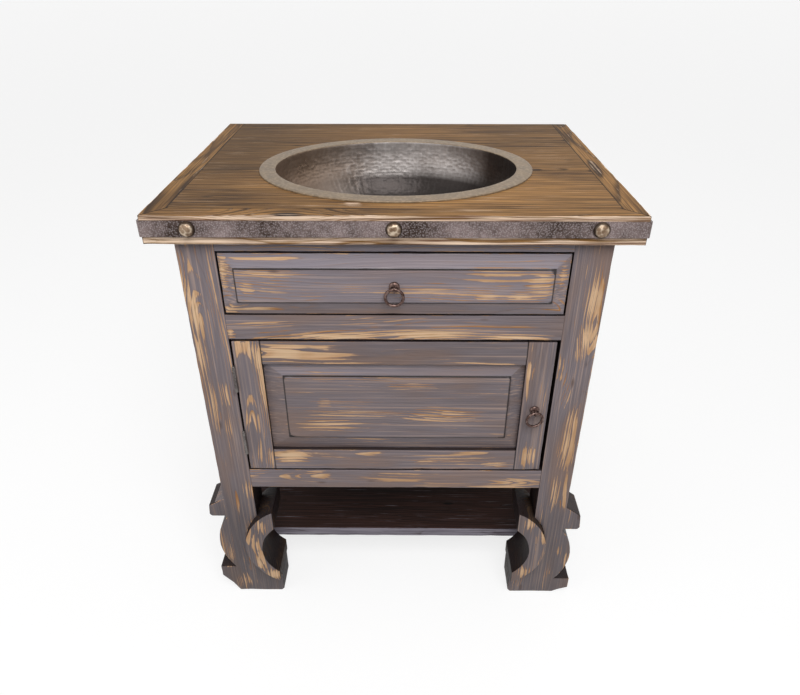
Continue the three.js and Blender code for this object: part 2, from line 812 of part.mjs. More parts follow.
function makeDrawer() {
  const half = halfOpening - drawerGap;
  const frontBack = faceY + drawerFrontThickness;
  const frame = [-half, half, drawerBottom, drawerTop];
  const rings = [
    shrunk(frame, drawerBevelWidth, faceY - drawerFieldProud),
    shrunk(frame, drawerBevelWidth, faceY - drawerFieldProud + drawerStep),
    shrunk(frame, 0, faceY),
    shrunk(frame, 0, frontBack)
  ];
  addPiece('drawer_front', skinOf(rings, false), finish.paintedPine);
  const low = middleRailTop + drawerBoxRaise;
  const high = low + drawerBoxHeight;
  const from = frontBack + seat;
  const to = bowlFrontAt(high) - drawerBowlClearance;
  const outer = halfOpening - drawerBoxInset;
  const inner = outer - drawerSideThickness;
  addBoard('drawer_side_left', finish.rawPine, -outer, -inner, from, to, low, high);
  addBoard('drawer_side_right', finish.rawPine, inner, outer, from, to, low, high);
  const within = inner - seat;
  const backFront = to - drawerSideThickness;
  addBoard('drawer_back', finish.rawPine, -within, within, backFront, to, low, high);
  const bottom = low + drawerBottomRaise;
  addBoard('drawer_bottom', finish.rawPine, -within, within, from, backFront - seat,
    bottom, bottom + drawerBottomThickness);
}

function makeRunners() {
  const top = middleRailTop + drawerBoxRaise - seat;
  const outer = halfOpening - seat;
  const inner = outer - runnerWidth;
  const from = railBack + seat;
  const to = rearLegFront + postDepth / 2;
  addBoard('drawer_runner_left', finish.rawPine, -outer, -inner, from, to, top - runnerHeight, top);
  addBoard('drawer_runner_right', finish.rawPine, inner, outer, from, to, top - runnerHeight, top);
}

// A domed plate with an eye, and the ring that hangs in the eye and swings about X
function makeRingPull(label, x, woodY, z, turn) {
  const eyeY = -eyeStandoff;
  const plate = revolved([
    [0, -rosetteEdge], [rosetteRadius, -rosetteEdge], [rosetteRadius, 0],
    [rosetteRadius * Math.cos(Math.PI / 6), rosetteHeight / 2],
    [rosetteRadius * Math.cos(Math.PI / 3), rosetteHeight], [0, rosetteHeight]
  ]);
  plate.rotateX(Math.PI / 2).translate(0, -rosetteEdge, 0);
  const eye = new THREE.TorusGeometry(eyeBoreRadius + eyeWireRadius, eyeWireRadius, wireSteps, roundSteps);
  eye.rotateY(Math.PI / 2).translate(0, eyeY, 0);
  const stemLength = eyeStandoff - eyeBoreRadius - eyeWireRadius;
  const stem = rod(eyeWireRadius, stemLength, 'y', wireSteps);
  stem.translate(0, -stemLength / 2 - rosetteEdge, 0);
  addPiece(`${label}_pull_plate`, joinedTo(plate, [eye, stem]), finish.hammeredIron, x, woodY - seat, z);
  const ring = new THREE.TorusGeometry(ringRadius, ringWireRadius, wireSteps, 2 * roundSteps);
  ring.rotateX(Math.PI / 2).translate(0, 0, -ringRadius);
  ring.rotateZ(turn);
  addPiece(`${label}_ring`, ring, finish.hammeredIron, x, woodY - seat + eyeY, z);
}

makeEdgeBoards();
makePlanks();
makeStrap();
makeNails();
makeSink();
makeDrain();
makeLegs();
makeFaceFrame();
makeSides();
makeBack();
makeFloor();
makeShelf();
makeDoorFrame();
makeDoorPanel();
makeHinge('upper', doorBottom + (doorTop - doorBottom) * upperHingeShare);
makeHinge('lower', doorBottom + (doorTop - doorBottom) * lowerHingeShare);
makeDrawer();
makeRunners();
makeRingPull('drawer', 0, faceY - drawerFieldProud, (drawerBottom + drawerTop) / 2, 0);
makeRingPull('door', doorRight - stileWidth / 2, faceY, (doorBottom + doorTop) / 2, doorRingTurn);

// The finished unit stands with its floor centre at the origin
unit.position.y = -(overallFront + topDepth) / 2;

export default unit;
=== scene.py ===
import json
import math
import random

import bmesh
import bpy
from mathutils import Matrix, Vector, kdtree, noise


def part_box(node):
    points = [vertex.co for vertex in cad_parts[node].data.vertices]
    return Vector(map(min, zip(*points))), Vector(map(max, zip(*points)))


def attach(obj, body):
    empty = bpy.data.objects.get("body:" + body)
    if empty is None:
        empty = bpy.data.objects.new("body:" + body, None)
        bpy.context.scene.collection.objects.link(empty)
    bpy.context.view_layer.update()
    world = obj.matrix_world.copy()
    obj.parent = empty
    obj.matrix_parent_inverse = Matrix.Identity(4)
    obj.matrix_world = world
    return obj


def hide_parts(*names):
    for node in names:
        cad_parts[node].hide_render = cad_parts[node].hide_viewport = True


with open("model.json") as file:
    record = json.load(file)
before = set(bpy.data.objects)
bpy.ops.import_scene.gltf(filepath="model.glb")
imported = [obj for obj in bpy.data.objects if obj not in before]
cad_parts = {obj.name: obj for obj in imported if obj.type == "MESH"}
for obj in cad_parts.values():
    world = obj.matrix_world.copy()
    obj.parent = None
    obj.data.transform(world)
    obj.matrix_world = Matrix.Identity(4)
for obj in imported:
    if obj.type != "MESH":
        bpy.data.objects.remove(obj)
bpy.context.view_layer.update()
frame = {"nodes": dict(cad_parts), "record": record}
nodeBody = {node: body for body, nodes in frame["record"]["behaviour"]["bodies"].items() for node in nodes}
print("frame loaded:", len(frame["nodes"]), "nodes")

mm = 0.001
depthMiddle = 294.2 * mm    # from the front edge of the top to the middle of the unit


def linear(hexColour):
    parts = [int(hexColour[i:i + 2], 16) / 255 for i in (1, 3, 5)]
    return [p / 12.92 if p <= 0.04045 else ((p + 0.055) / 1.055) ** 2.4 for p in parts] + [1.0]


# Adds one node. Inputs are values or sockets of other nodes; what comes back is an output socket
def add(tree, kind, inputs=None, out=0, **settings):
    node = tree.nodes.new(kind)
    for name, value in settings.items():
        setattr(node, name, value)
    for key, value in (inputs or {}).items():
        if isinstance(value, bpy.types.NodeSocket):
            tree.links.new(value, node.inputs[key])
        else:
            node.inputs[key].default_value = value
    return node.outputs[out] if len(node.outputs) else node


def newMaterial(name):
    material = bpy.data.materials.new(name)
    material.use_nodes = True
    material.node_tree.nodes.clear()
    return material, material.node_tree


def inScene(name, data):
    made = bpy.data.objects.new(name, data)
    bpy.context.scene.collection.objects.link(made)
    return made


# Lays coats over a colour. The look holds the colour of each and, under "shows", where on its source
# the coat starts, where it is full and how much of it shows then
def coated(tree, look, colour, **sources):
    for name, source in sources.items():
        start, full, most = look["shows"][name]
        share = add(tree, "ShaderNodeMapRange", {
            "Value": source, "From Min": start, "From Max": full, "To Max": most})
        colour = add(tree, "ShaderNodeMix", {
            "Factor": share, 6: colour, 7: linear(look[name])}, out=2, data_type="RGBA")
    return colour


# Wood finishes

# Charcoal milk paint over knotty pine, wire-brushed and rubbed through, then waxed.
# The eye gets a grey film with tan streaks that follow the growth rings, and bare arrises.
# Fibres are drawn about three times as coarse as real ones, so that they show at this distance
paintLook = {
    "film": "#4b4042", "fibres": "#958889", "smoke": "#868089", "lines": "#4b4042", "smudges": "#8d7263",
    # A cool colour on the next line is a painted highlight, the sky's sheen laid on upward bevels and
    # lighter boards
    "strokes": "#b59c8f", "bloom": "#868089", "thinned": "#8d7263", "wood": "#dfb892", "late": "#a06f42",
    # On the next line the last colour is a painted shade for faces in shade, the one before it the dark of
    # the joints
    "pale": "#f4d8b4", "knots": "#4a3122", "seam": "#1d1616", "sawn": "#1d1616",
    "shows": {"fibres": (0.0, 1.0, 1.0), "smoke": (0.4, 0.62, 0.4), "lines": (0.0, 1.0, 0.2),
              "smudges": (0.48, 0.34, 0.5), "strokes": (0.79, 0.99, 0.72), "bloom": (0.1, 0.4, 0.75),
              "thinned": (-0.14, 0.02, 0.55), "late": (0.0, 1.0, 1.0), "pale": (0.3, 0.75, 0.5),
              "knots": (0.0, 1.0, 0.6), "seam": (2.1 * mm, 0.9 * mm, 0.92), "sawn": (0.0, 1.0, 1.0)},
    "ring wobble": 22 * mm, "ring width": 4.6 * mm, "grain per metre": (1.7, 8.0, 8.0),
    "knots per metre": (3.2, 10.0, 10.0), "pins per metre": (9.0, 30.0, 30.0),
    "fibre per metre": (8.0, 360.0, 360.0), "patch per metre": (3.4, 17.0, 17.0),
    "ragged per metre": (14.0, 80.0, 80.0), "brush per metre": (3.0, 260.0, 260.0),
    "edge reach": 6 * mm, "grain depth": 0.5 * mm, "relief": 0.6, "roughness": (0.44, 0.66),
    "sheen": 0.4, "sawn sheen": 0.02,
}

# Brown oil stain over the same pine: tea-brown early wood between dark late wood lines,
# with cloudy darker places and pale rubbed lips
stainLook = {
    "wood": "#7a5833", "shade": "#3e2814", "late": "#2a190a", "glow": "#b08552", "knots": "#1c1009",
    "worn": "#7a5a45", "pale": "#f4d8bd", "seam": "#1a0f0a",
    "shows": {"shade": (0.42, 0.6, 1.0), "glow": (0.42, 0.62, 0.8), "late": (0.0, 1.0, 0.92),
              "knots": (0.0, 1.0, 1.0), "pale": (0.36, 0.6, 1.0), "seam": (1.6 * mm, 0.5 * mm, 0.92)},
    "ring wobble": 15 * mm, "ring width": 5.2 * mm, "grain per metre": (1.5, 7.0, 7.0),
    "knots per metre": (2.6, 6.0, 6.0), "pins per metre": (8.0, 26.0, 26.0),
    "fibre per metre": (7.0, 400.0, 400.0), "cloud per metre": (2.6, 8.0, 8.0),
    "ragged per metre": (14.0, 90.0, 90.0), "edge reach": 4 * mm, "grain depth": 0.35 * mm, "relief": 0.5,
    "roughness": (0.55, 0.7), "sheen": 0.15,
}

# How far the brush went through is the sum of these shares and the worn places, less the film's hold
rubShares = {
    "ragged": 0.8, "ridge": 0.8, "fibre": 1.1, "hold": 1.87, "arris": 0.85, "least reach": 0.5 * mm}


# Noise drawn out along the grain, with its frequencies along, across and in depth
def grainNoise(tree, grain, perMetre, detail, roughness=0.5, out=0):
    place = add(tree, "ShaderNodeVectorMath", {0: grain, 1: perMetre}, operation="MULTIPLY")
    return add(tree, "ShaderNodeTexNoise", {
        "Vector": place, "Scale": 1.0, "Detail": detail, "Roughness": roughness}, out=out)


# How many of the knots and of the small pins are hidden, and where their dark cores start and are full
knotShapes = {"knots": (0.66, 0.095, 0.06), "pins": (0.6, 0.13, 0.07)}


# How near the closest knot is, whether it is one that shows, and its dark core
def scatteredKnots(tree, look, grain, kind):
    hidden, start, full = knotShapes[kind]
    perMetre = look[kind + " per metre"]
    place = add(tree, "ShaderNodeVectorMath", {0: grain, 1: perMetre}, operation="MULTIPLY")
    near = add(tree, "ShaderNodeTexVoronoi", {"Vector": place, "Scale": 1.0}, out="Distance")
    pick = near.node.outputs["Color"]
    chosen = add(tree, "ShaderNodeMath", {0: pick, 1: hidden}, operation="GREATER_THAN")
    core = add(tree, "ShaderNodeMapRange", {"Value": near, "From Min": start, "From Max": full})
    return near, chosen, add(tree, "ShaderNodeMath", {0: core, 1: chosen}, operation="MULTIPLY")


# Growth rings round a log axis, wavy along the board and bent round knots.
# The grain attribute holds along, across and depth in metres, measured from the log axis
def growthRings(tree, look):
    grain = add(tree, "ShaderNodeAttribute", out="Vector", attribute_name="grain")
    wavy = grainNoise(tree, grain, look["grain per metre"], detail=2.5, roughness=0.45, out="Color")
    centred = add(tree, "ShaderNodeVectorMath", {0: wavy, 1: (0.5, 0.5, 0.5)}, operation="SUBTRACT")
    bend = 4 * look["ring wobble"]
    bent = add(tree, "ShaderNodeVectorMath", {
        0: centred, 1: (0.0, bend, bend), 2: grain}, operation="MULTIPLY_ADD")
    radial = add(tree, "ShaderNodeVectorMath", {0: bent, 1: (0.0, 1.0, 1.0)}, operation="MULTIPLY")
    radius = add(tree, "ShaderNodeVectorMath", {0: radial}, out="Value", operation="LENGTH")
    near, chosen, knot = scatteredKnots(tree, look, grain, "knots")
    swell = add(tree, "ShaderNodeMapRange", {
        "Value": near, "From Min": 0.40, "From Max": 0.0}, interpolation_type="SMOOTHSTEP")
    swell = add(tree, "ShaderNodeMath", {0: swell, 1: chosen}, operation="MULTIPLY")
    knotWidth = 4.5 * look["ring width"]
    swollen = add(tree, "ShaderNodeMath", {0: swell, 1: knotWidth, 2: radius}, operation="MULTIPLY_ADD")
    count = add(tree, "ShaderNodeMath", {0: swollen, 1: 1 / look["ring width"]}, operation="MULTIPLY")
    uneven = add(tree, "ShaderNodeTexNoise", {
        "W": count, "Scale": 0.37, "Detail": 1.0}, noise_dimensions="1D")
    count = add(tree, "ShaderNodeMath", {0: uneven, 1: 2.4, 2: count}, operation="MULTIPLY_ADD")
    phase = add(tree, "ShaderNodeMath", {0: count}, operation="FRACT")
    rise = add(tree, "ShaderNodeMapRange", {
        "Value": phase, "From Min": 0.42, "From Max": 0.85}, interpolation_type="SMOOTHSTEP")
    fall = add(tree, "ShaderNodeMapRange", {"Value": phase, "From Min": 1.0, "From Max": 0.9})
    strength = add(tree, "ShaderNodeTexNoise", {
        "W": count, "Scale": 0.55, "Detail": 0.0}, noise_dimensions="1D")
    strength = add(tree, "ShaderNodeMapRange", {
        "Value": strength, "From Min": 0.3, "From Max": 0.62, "To Min": 0.3})
    late = add(tree, "ShaderNodeMath", {0: rise, 1: fall}, operation="MULTIPLY")
    late = add(tree, "ShaderNodeMath", {0: late, 1: strength}, operation="MULTIPLY")
    ridge = add(tree, "ShaderNodeMapRange", {"Value": phase, "From Max": 0.85})
    ridge = add(tree, "ShaderNodeMath", {0: ridge, 1: fall}, operation="MULTIPLY")
    pin = scatteredKnots(tree, look, grain, "pins")[2]
    knot = add(tree, "ShaderNodeMath", {0: knot, 1: pin}, operation="MAXIMUM")
    fibre = grainNoise(tree, grain, look["fibre per metre"], detail=3.0, roughness=0.65)
    return grain, late, ridge, fibre, knot


# How far the brush went through: placed rubs, worn arrises and chance patches, broken up by the grain
def rubbedLevel(tree, look, grain, ridge, fibre, chance):
    placed = add(tree, "ShaderNodeAttribute", out="Fac", attribute_name="rub")
    fromEdge = add(tree, "ShaderNodeAttribute", out="Fac", attribute_name="edgeDistance")
    ragged = grainNoise(tree, grain, look["ragged per metre"], detail=4.0, roughness=0.6)
    reach = add(tree, "ShaderNodeMapRange", {
        "Value": ragged, "From Min": 0.40, "From Max": 0.68, "To Min": rubShares["least reach"],
        "To Max": look["edge reach"]})
    arris = add(tree, "ShaderNodeMapRange", {
        "Value": fromEdge, "From Max": reach, "To Min": rubShares["arris"], "To Max": 0.0})
    level = placed
    for other in (arris, chance):
        level = add(tree, "ShaderNodeMath", {0: level, 1: other}, operation="MAXIMUM")
    for name, part in (("ragged", ragged), ("ridge", ridge), ("fibre", fibre)):
        level = add(tree, "ShaderNodeMath", {
            0: part, 1: rubShares[name], 2: level}, operation="MULTIPLY_ADD")
    return add(tree, "ShaderNodeMath", {0: level, 1: rubShares["hold"]}, operation="SUBTRACT")


# The film or stain is lighter or darker as the tone attribute says: from board to board, and with painted
# light and painted shade added to it
def toned(tree, colour):
    tone = add(tree, "ShaderNodeAttribute", out="Fac", attribute_name="tone")
    lightness = add(tree, "ShaderNodeMapRange", {
        "Value": tone, "From Min": -1.0, "To Min": 0.3, "To Max": 1.7})
    return add(tree, "ShaderNodeVectorMath", {0: colour, "Scale": lightness}, operation="SCALE"), tone


# Fibres and late wood stand up a little; the finish is duller where roughBy is high
def woodSurface(tree, look, colour, relief, roughBy, sheen):
    bump = add(tree, "ShaderNodeBump", {
        "Height": relief, "Strength": look["relief"], "Distance": look["grain depth"]})
    low, high = look["roughness"]
    rough = add(tree, "ShaderNodeMapRange", {"Value": roughBy, "To Min": low, "To Max": high})
    surface = add(tree, "ShaderNodeBsdfPrincipled", {
        "Base Color": colour, "Roughness": rough, "IOR": 1.5, "Specular IOR Level": sheen, "Normal": bump})
    add(tree, "ShaderNodeOutputMaterial", {"Surface": surface})


def makePaintedPine(look):
    material, tree = newMaterial("rubbedCharcoalPaintOnPine")
    grain, late, ridge, fibre, knot = growthRings(tree, look)
    patch = grainNoise(tree, grain, look["patch per metre"], detail=3.0, roughness=0.55)
    brush = grainNoise(tree, grain, look["brush per metre"], detail=2.0)
    brush = add(tree, "ShaderNodeMath", {0: patch, 1: 0.5, 2: brush}, operation="MULTIPLY_ADD")
    chance = add(tree, "ShaderNodeMapRange", {
        "Value": patch, "From Min": 0.54, "From Max": 0.74, "To Max": 0.55})
    level = rubbedLevel(tree, look, grain, ridge, fibre, chance)
    film = coated(tree, look, linear(look["film"]), fibres=fibre, smoke=patch, lines=late, smudges=patch,
                  strokes=brush)
    film, tone = toned(tree, film)
    # Painted highlight: a cool sheen where the tone is high, on the upper bevels, the drawer front and the
    # top face rail
    film = coated(tree, look, film, bloom=tone, thinned=level)
    pore = add(tree, "ShaderNodeMapRange", {
        "Value": fibre, "From Min": 0.56, "From Max": 0.4, "To Max": 0.6})
    pore = add(tree, "ShaderNodeMath", {0: late, 1: pore}, operation="MAXIMUM")
    wood = coated(tree, look, linear(look["wood"]), late=pore, pale=level)
    bare = add(tree, "ShaderNodeMapRange", {"Value": level, "From Max": 0.13},
               interpolation_type="SMOOTHSTEP")
    colour = add(tree, "ShaderNodeMix", {"Factor": bare, 6: film, 7: wood}, out=2, data_type="RGBA")
    # Dark along the seams: the dark of the joints, and in the steps of the raised panels a painted shadow
    fromSeam = add(tree, "ShaderNodeAttribute", out="Fac", attribute_name="seamDistance")
    sawn = add(tree, "ShaderNodeAttribute", out="Fac", attribute_name="sawn")
    # Painted shade on the reveals, the inward faces and the panel steps, and partly on the sides of the
    # feet
    colour = coated(tree, look, colour, knots=knot, seam=fromSeam, sawn=sawn)
    relief = add(tree, "ShaderNodeMath", {0: late, 1: 0.8, 2: fibre}, operation="MULTIPLY_ADD")
    relief = add(tree, "ShaderNodeMath", {0: bare, 1: -0.5, 2: relief}, operation="MULTIPLY_ADD")
    sheen = add(tree, "ShaderNodeMapRange", {
        "Value": sawn, "To Min": look["sheen"], "To Max": look["sawn sheen"]})
    woodSurface(tree, look, colour, relief, bare, sheen)
    return material


def makeStainedPine(name, look):
    material, tree = newMaterial(name)
    grain, late, ridge, fibre, knot = growthRings(tree, look)
    level = rubbedLevel(tree, look, grain, ridge, fibre, 0.0)
    cloud = grainNoise(tree, grain, look["cloud per metre"], detail=4.0, roughness=0.6)
    colour = coated(tree, look, linear(look["wood"]), shade=cloud, glow=fibre, late=late, knots=knot)
    colour = toned(tree, colour)[0]
    worn = coated(tree, look, linear(look["worn"]), pale=fibre)
    bare = add(tree, "ShaderNodeMapRange", {"Value": level, "From Min": -0.08, "From Max": 0.3})
    colour = add(tree, "ShaderNodeMix", {"Factor": bare, 6: colour, 7: worn}, out=2, data_type="RGBA")
    fromSeam = add(tree, "ShaderNodeAttribute", out="Fac", attribute_name="seamDistance")
    colour = coated(tree, look, colour, seam=fromSeam)
    relief = add(tree, "ShaderNodeMath", {0: late, 1: 0.6, 2: fibre}, operation="MULTIPLY_ADD")
    woodSurface(tree, look, colour, relief, fibre, look["sheen"])
    return material


# Metal finishes

# Beaten metal under a patina: each hammer mark is a shallow dish, the patina is cloudy,
# and the high places between the marks are rubbed lighter
def makeBeatenMetal(name, look):
    look = {**metalLook, **look, "shows": {**metalLook["shows"], **look["shows"]}}
    material, tree = newMaterial(name)
    body = add(tree, "ShaderNodeTexCoord", out="Object")
    place = body
    if look["rows"]:
        place = add(tree, "ShaderNodeAttribute", out="Vector", attribute_name="hammerRows")
    dish = add(tree, "ShaderNodeTexVoronoi", {
        "Vector": place, "Scale": 1 / look["mark"], "Randomness": look["loose"]}, out="Distance")
    dish = add(tree, "ShaderNodeMath", {0: dish, 1: 2.0}, operation="POWER")
    grit = add(tree, "ShaderNodeTexNoise", {"Vector": place, "Scale": 1 / look["grit"], "Detail": 3.0})
    cloud = add(tree, "ShaderNodeTexNoise", {
        "Vector": body, "Scale": 1 / look["cloud"], "Detail": 5.0, "Roughness": 0.65})
    colour = coated(tree, look, linear(look["dark"]), middle=cloud, light=dish)
    # Painted shade: dark at the bottom of the bowl and black-brown at its right end
    if look["deep patina"]:
        colour = patinatedAndShaded(tree, look, body, colour)
    # A dark ring of painted shade round the edge of the nail heads, where they meet the strap
    if look["rim"]:
        towardsRim = add(tree, "ShaderNodeAttribute", out="Fac", attribute_name="towardsRim")
        colour = coated(tree, look, colour, rim=towardsRim)
    height = add(tree, "ShaderNodeMath", {
        0: grit, 1: look["grit share"], 2: dish}, operation="MULTIPLY_ADD")
    bump = add(tree, "ShaderNodeBump", {"Height": height, "Distance": look["depth"]})
    rough = add(tree, "ShaderNodeMapRange", {
        "Value": cloud, "From Min": 0.3, "From Max": 0.7, "To Min": look["roughness"] - 0.06,
        "To Max": look["roughness"] + 0.08})
    surface = add(tree, "ShaderNodeBsdfPrincipled", {
        "Base Color": colour, "Roughness": rough, "Metallic": look["metallic"], "Normal": bump})
    add(tree, "ShaderNodeOutputMaterial", {"Surface": surface})
    return material


# The bowl turns brown towards the left; painted shade makes it black-brown towards the right and dark at
# the bottom. The painted bottom shade holds back where the brown is, so that no hard line shows between
# them
def patinatedAndShaded(tree, look, body, colour):
    sideways, aboveFloor = (add(tree, "ShaderNodeSeparateXYZ", {0: body}, out=letter) for letter in "XZ")
    start, full, most = look["browned"]
    brown = add(tree, "ShaderNodeMapRange", {
        "Value": sideways, "From Min": start, "From Max": full, "To Max": most},
        interpolation_type="SMOOTHSTEP")
    colour = add(tree, "ShaderNodeMix", {
        "Factor": brown, 6: colour, 7: linear(look["brown patina"])}, out=2, data_type="RGBA")
    colour = coated(tree, look, colour, end=sideways)
    held = add(tree, "ShaderNodeMapRange", {
        "Value": brown, "From Min": 0.05, "From Max": most, "To Min": 1.0, "To Max": 0.5},
        interpolation_type="SMOOTHSTEP")
    start, full, most = look["deepened"]
    below = add(tree, "ShaderNodeMapRange", {
        "Value": aboveFloor, "From Min": start, "From Max": full, "To Max": most})
    below = add(tree, "ShaderNodeMath", {0: below, 1: held}, operation="MULTIPLY")
    return add(tree, "ShaderNodeMix", {
        "Factor": below, 6: colour, 7: linear(look["deep patina"])}, out=2, data_type="RGBA")


# What most of the metals share
metalLook = {
    "loose": 1.0, "grit": 1.2 * mm, "grit share": 0.3, "rows": False, "deep patina": None, "rim": None,
    "shows": {"middle": (0.36, 0.66, 1.0)}}
# Hammered bowl: rows of small bright lips between the marks, and painted shade black-brown towards the
# bottom and the right
bowlLook = {
    "dark": "#99908b", "middle": "#d2cbc8", "light": "#ece7e5", "mark": 6.5 * mm, "loose": 0.5,
    "grit": 1.6 * mm, "grit share": 0.1, "cloud": 110 * mm, "depth": 0.15 * mm, "roughness": 0.33,
    "metallic": 0.85, "rows": True, "deep patina": "#1a1412", "deepened": (0.828, 0.797, 0.965),
    "brown patina": "#a08670", "browned": (-0.02, -0.18, 0.85), "end": "#261c17",
    "shows": {"light": (0.2, 0.62, 0.36), "end": (0.08, 0.18, 0.94)}}
# Rim: the same copper scoured to a pale, even, satin grey-tan
rimLook = {
    "dark": "#705f4b", "middle": "#8b7963", "light": "#a6947d", "mark": 5 * mm, "cloud": 30 * mm,
    "depth": 0.12 * mm, "roughness": 0.48, "metallic": 0.55,
    "shows": {"light": (0.2, 0.62, 0.4)}}
# Strap: dark iron with a fine pebbled beating that glints
strapLook = {
    "dark": "#35261f", "middle": "#8f7f7d", "light": "#cbc0c1", "mark": 2.6 * mm, "cloud": 70 * mm,
    "depth": 0.7 * mm, "roughness": 0.36, "metallic": 0.7,
    "shows": {"light": (0.3, 0.02, 0.32)}}
# Nail heads: pale rubbed crowns with a dark ring of painted shade where they meet the strap
nailLook = {
    "dark": "#6a533f", "middle": "#97806a", "light": "#ecdac2", "rim": "#33251b", "mark": 6 * mm,
    "grit": 1.3 * mm, "cloud": 7 * mm, "depth": 0.5 * mm, "roughness": 0.4, "metallic": 0.7,
    "shows": {"light": (0.2, 0.62, 0.6), "rim": (0.66, 0.86, 0.95)}}
# Pulls: brown-black bronze, rubbed brighter by the hand
pullLook = {
    "dark": "#3d2b26", "middle": "#6d5650", "light": "#a8938a", "mark": 5 * mm, "grit": 1.0 * mm,
    "grit share": 0.25, "cloud": 9 * mm, "depth": 0.3 * mm, "roughness": 0.3, "metallic": 0.85,
    "shows": {"light": (0.2, 0.62, 0.3)}}
# Hinges: plain dull steel, seen only at the door's edge and behind the open door
hingeLook = {
    "dark": "#4d4644", "middle": "#75706d", "light": "#a09b98", "mark": 3 * mm, "grit": 0.8 * mm,
    "cloud": 8 * mm, "depth": 0.06 * mm, "roughness": 0.4, "metallic": 0.8,
    "shows": {"light": (0.2, 0.62, 0.3)}}

paintedPine = makePaintedPine(paintLook)
stainedPine = makeStainedPine("brownStainedPine", stainLook)
# Shelf and cabinet floor: nearly black, with greyed worn edges
darkPine = makeStainedPine("darkStainedShelfPine", {
    **stainLook, "wood": "#3a2925", "shade": "#251b1a", "late": "#1b1312", "glow": "#4b322b",
    "knots": "#120c0b", "worn": "#6d6670", "pale": "#9d98a2", "seam": "#100b0a"})
# Drawer box: clean sanded pine
rawPine = makeStainedPine("sandedPine", {
    **stainLook, "wood": "#dcb88a", "shade": "#cda472", "late": "#ac7d4c", "glow": "#e6c79b",
    "knots": "#6e452a", "worn": "#d3ad7d", "pale": "#ead0a6", "seam": "#7c5c3a"})
beatenCopper = makeBeatenMetal("patinatedBeatenCopper", bowlLook)
rimCopper = makeBeatenMetal("rubbedRimCopper", rimLook)
strapIron = makeBeatenMetal("beatenStrapIron", strapLook)
nailBronze = makeBeatenMetal("paleNailBronze", nailLook)
pullBronze = makeBeatenMetal("rubbedPullBronze", pullLook)
hingeSteel = makeBeatenMetal("dullHingeSteel", hingeLook)
print("materials made")


# Boards

boardLook = {
    "ease": 1.7 * mm, "cell": (11 * mm, 6 * mm, 6 * mm), "wobble": 1.3 * mm, "wobbles per metre": 34.0,
    "sharp": math.radians(24), "edge step": 2.5 * mm, "foot top": 262 * mm, "near": 2.5 * mm,
    "leg outside": 336 * mm, "leg inside": 300 * mm}

# Worn places of the painted front, as the brush left them: x, height, half width and half height
# in millimetres, and how far the wood is bare
rubs = {
    "front_leg_left": [
        (-325, 790, 12, 26, 0.45), (-337, 735, 6, 42, 0.7), (-328, 692, 11, 50, 1.0),
        (-332, 610, 9, 56, 0.85), (-325, 500, 13, 60, 0.62), (-300, 525, 11, 24, 0.5),
        (-306, 453, 9, 20, 0.4), (-285, 297, 18, 22, 0.5), (-316, 269, 5, 56, 0.45),
        (-361, 150, 8, 40, 0.55), (-347, 112, 6, 24, 0.6), (-326, 31, 18, 22, 0.45)],
    "front_leg_right": [
        (326, 715, 15, 40, 0.85), (326, 645, 17, 34, 0.9), (313, 612, 9, 16, 0.6), (285, 591, 6, 16, 0.7),
        (286, 568, 6, 8, 0.7), (321, 461, 12, 42, 0.62), (318, 409, 14, 52, 0.85), (312, 290, 8, 44, 0.8),
        (332, 292, 9, 46, 0.6), (339, 128, 7, 12, 0.5), (360, 100, 9, 24, 0.5), (329, 60, 9, 24, 0.4)],
    "drawer_front": [
        (-270, 766, 8, 32, 1.0), (-268, 699, 11, 9, 1.0), (-228, 700, 40, 6, 0.86),
        (-207, 789, 54, 5, 0.59), (-200, 766, 66, 8, 0.69), (-236, 738, 13, 14, 0.69),
        (145, 727, 24, 9, 0.81), (203, 726, 25, 9, 0.86), (233, 747, 24, 30, 0.76),
        (166, 763, 60, 12, 0.64), (268, 760, 8, 20, 0.74), (60, 738, 46, 8, 0.56)],
    "face_rail_middle": [
        (-220, 671, 58, 5, 0.6), (-274, 652, 7, 9, 1.0), (-210, 643, 33, 4, 0.6), (-92, 647, 100, 9, 1.05),
        (59, 650, 84, 10, 1.25), (200, 645, 66, 7, 1.05), (175, 667, 96, 4, 0.5), (0, 676, 120, 4, 0.42)],
    "face_rail_bottom": [
        (-151, 338, 24, 11, 0.86), (-205, 332, 40, 8, 0.59), (232, 320, 42, 11, 0.76),
        (200, 308, 52, 5, 0.96), (9, 331, 62, 10, 0.56), (90, 312, 60, 5, 0.59)],
    "face_rail_top": [(-150, 806, 90, 5, 0.45), (60, 803, 70, 4, 0.4), (200, 808, 60, 5, 0.5)],
    "door_stile_left": [
        (-257, 622, 19, 22, 1.0), (-236, 600, 7, 34, 0.9), (-233, 536, 6, 74, 0.85),
        (-258, 508, 10, 24, 0.5), (-260, 469, 12, 28, 0.7), (-257, 391, 10, 24, 0.6),
        (-236, 381, 9, 24, 0.65)],
    "door_stile_right": [(234, 574, 7, 20, 0.8), (232, 538, 5, 28, 0.62), (252, 386, 20, 20, 0.7)],
    "door_rail_top": [
        (-190, 615, 50, 19, 1.0), (-128, 612, 48, 15, 0.75), (-70, 594, 50, 5, 0.65),
        (138, 594, 80, 4, 0.7)],
    "door_rail_bottom": [
        (-195, 381, 34, 15, 1.0), (-94, 393, 75, 7, 0.74), (190, 364, 24, 7, 0.79), (56, 372, 30, 5, 0.69),
        (150, 394, 50, 6, 0.64), (120, 378, 60, 12, 0.54)],
    "door_panel": [
        (-126, 503, 14, 12, 0.56), (-60, 484, 110, 6, 0.66), (-120, 457, 64, 16, 0.6),
        (85, 479, 66, 16, 0.64), (27, 541, 40, 8, 0.52), (0, 560, 180, 3, 0.59)],
    "foot_scroll_left": [
        (-270, 213, 11, 18, 0.8), (-292, 165, 12, 34, 0.85), (-282, 110, 13, 30, 0.85),
        (-256, 72, 17, 16, 1.05)],
    "foot_scroll_right": [(268, 226, 14, 14, 0.8), (294, 190, 9, 24, 0.8), (272, 84, 16, 16, 0.8)],
}

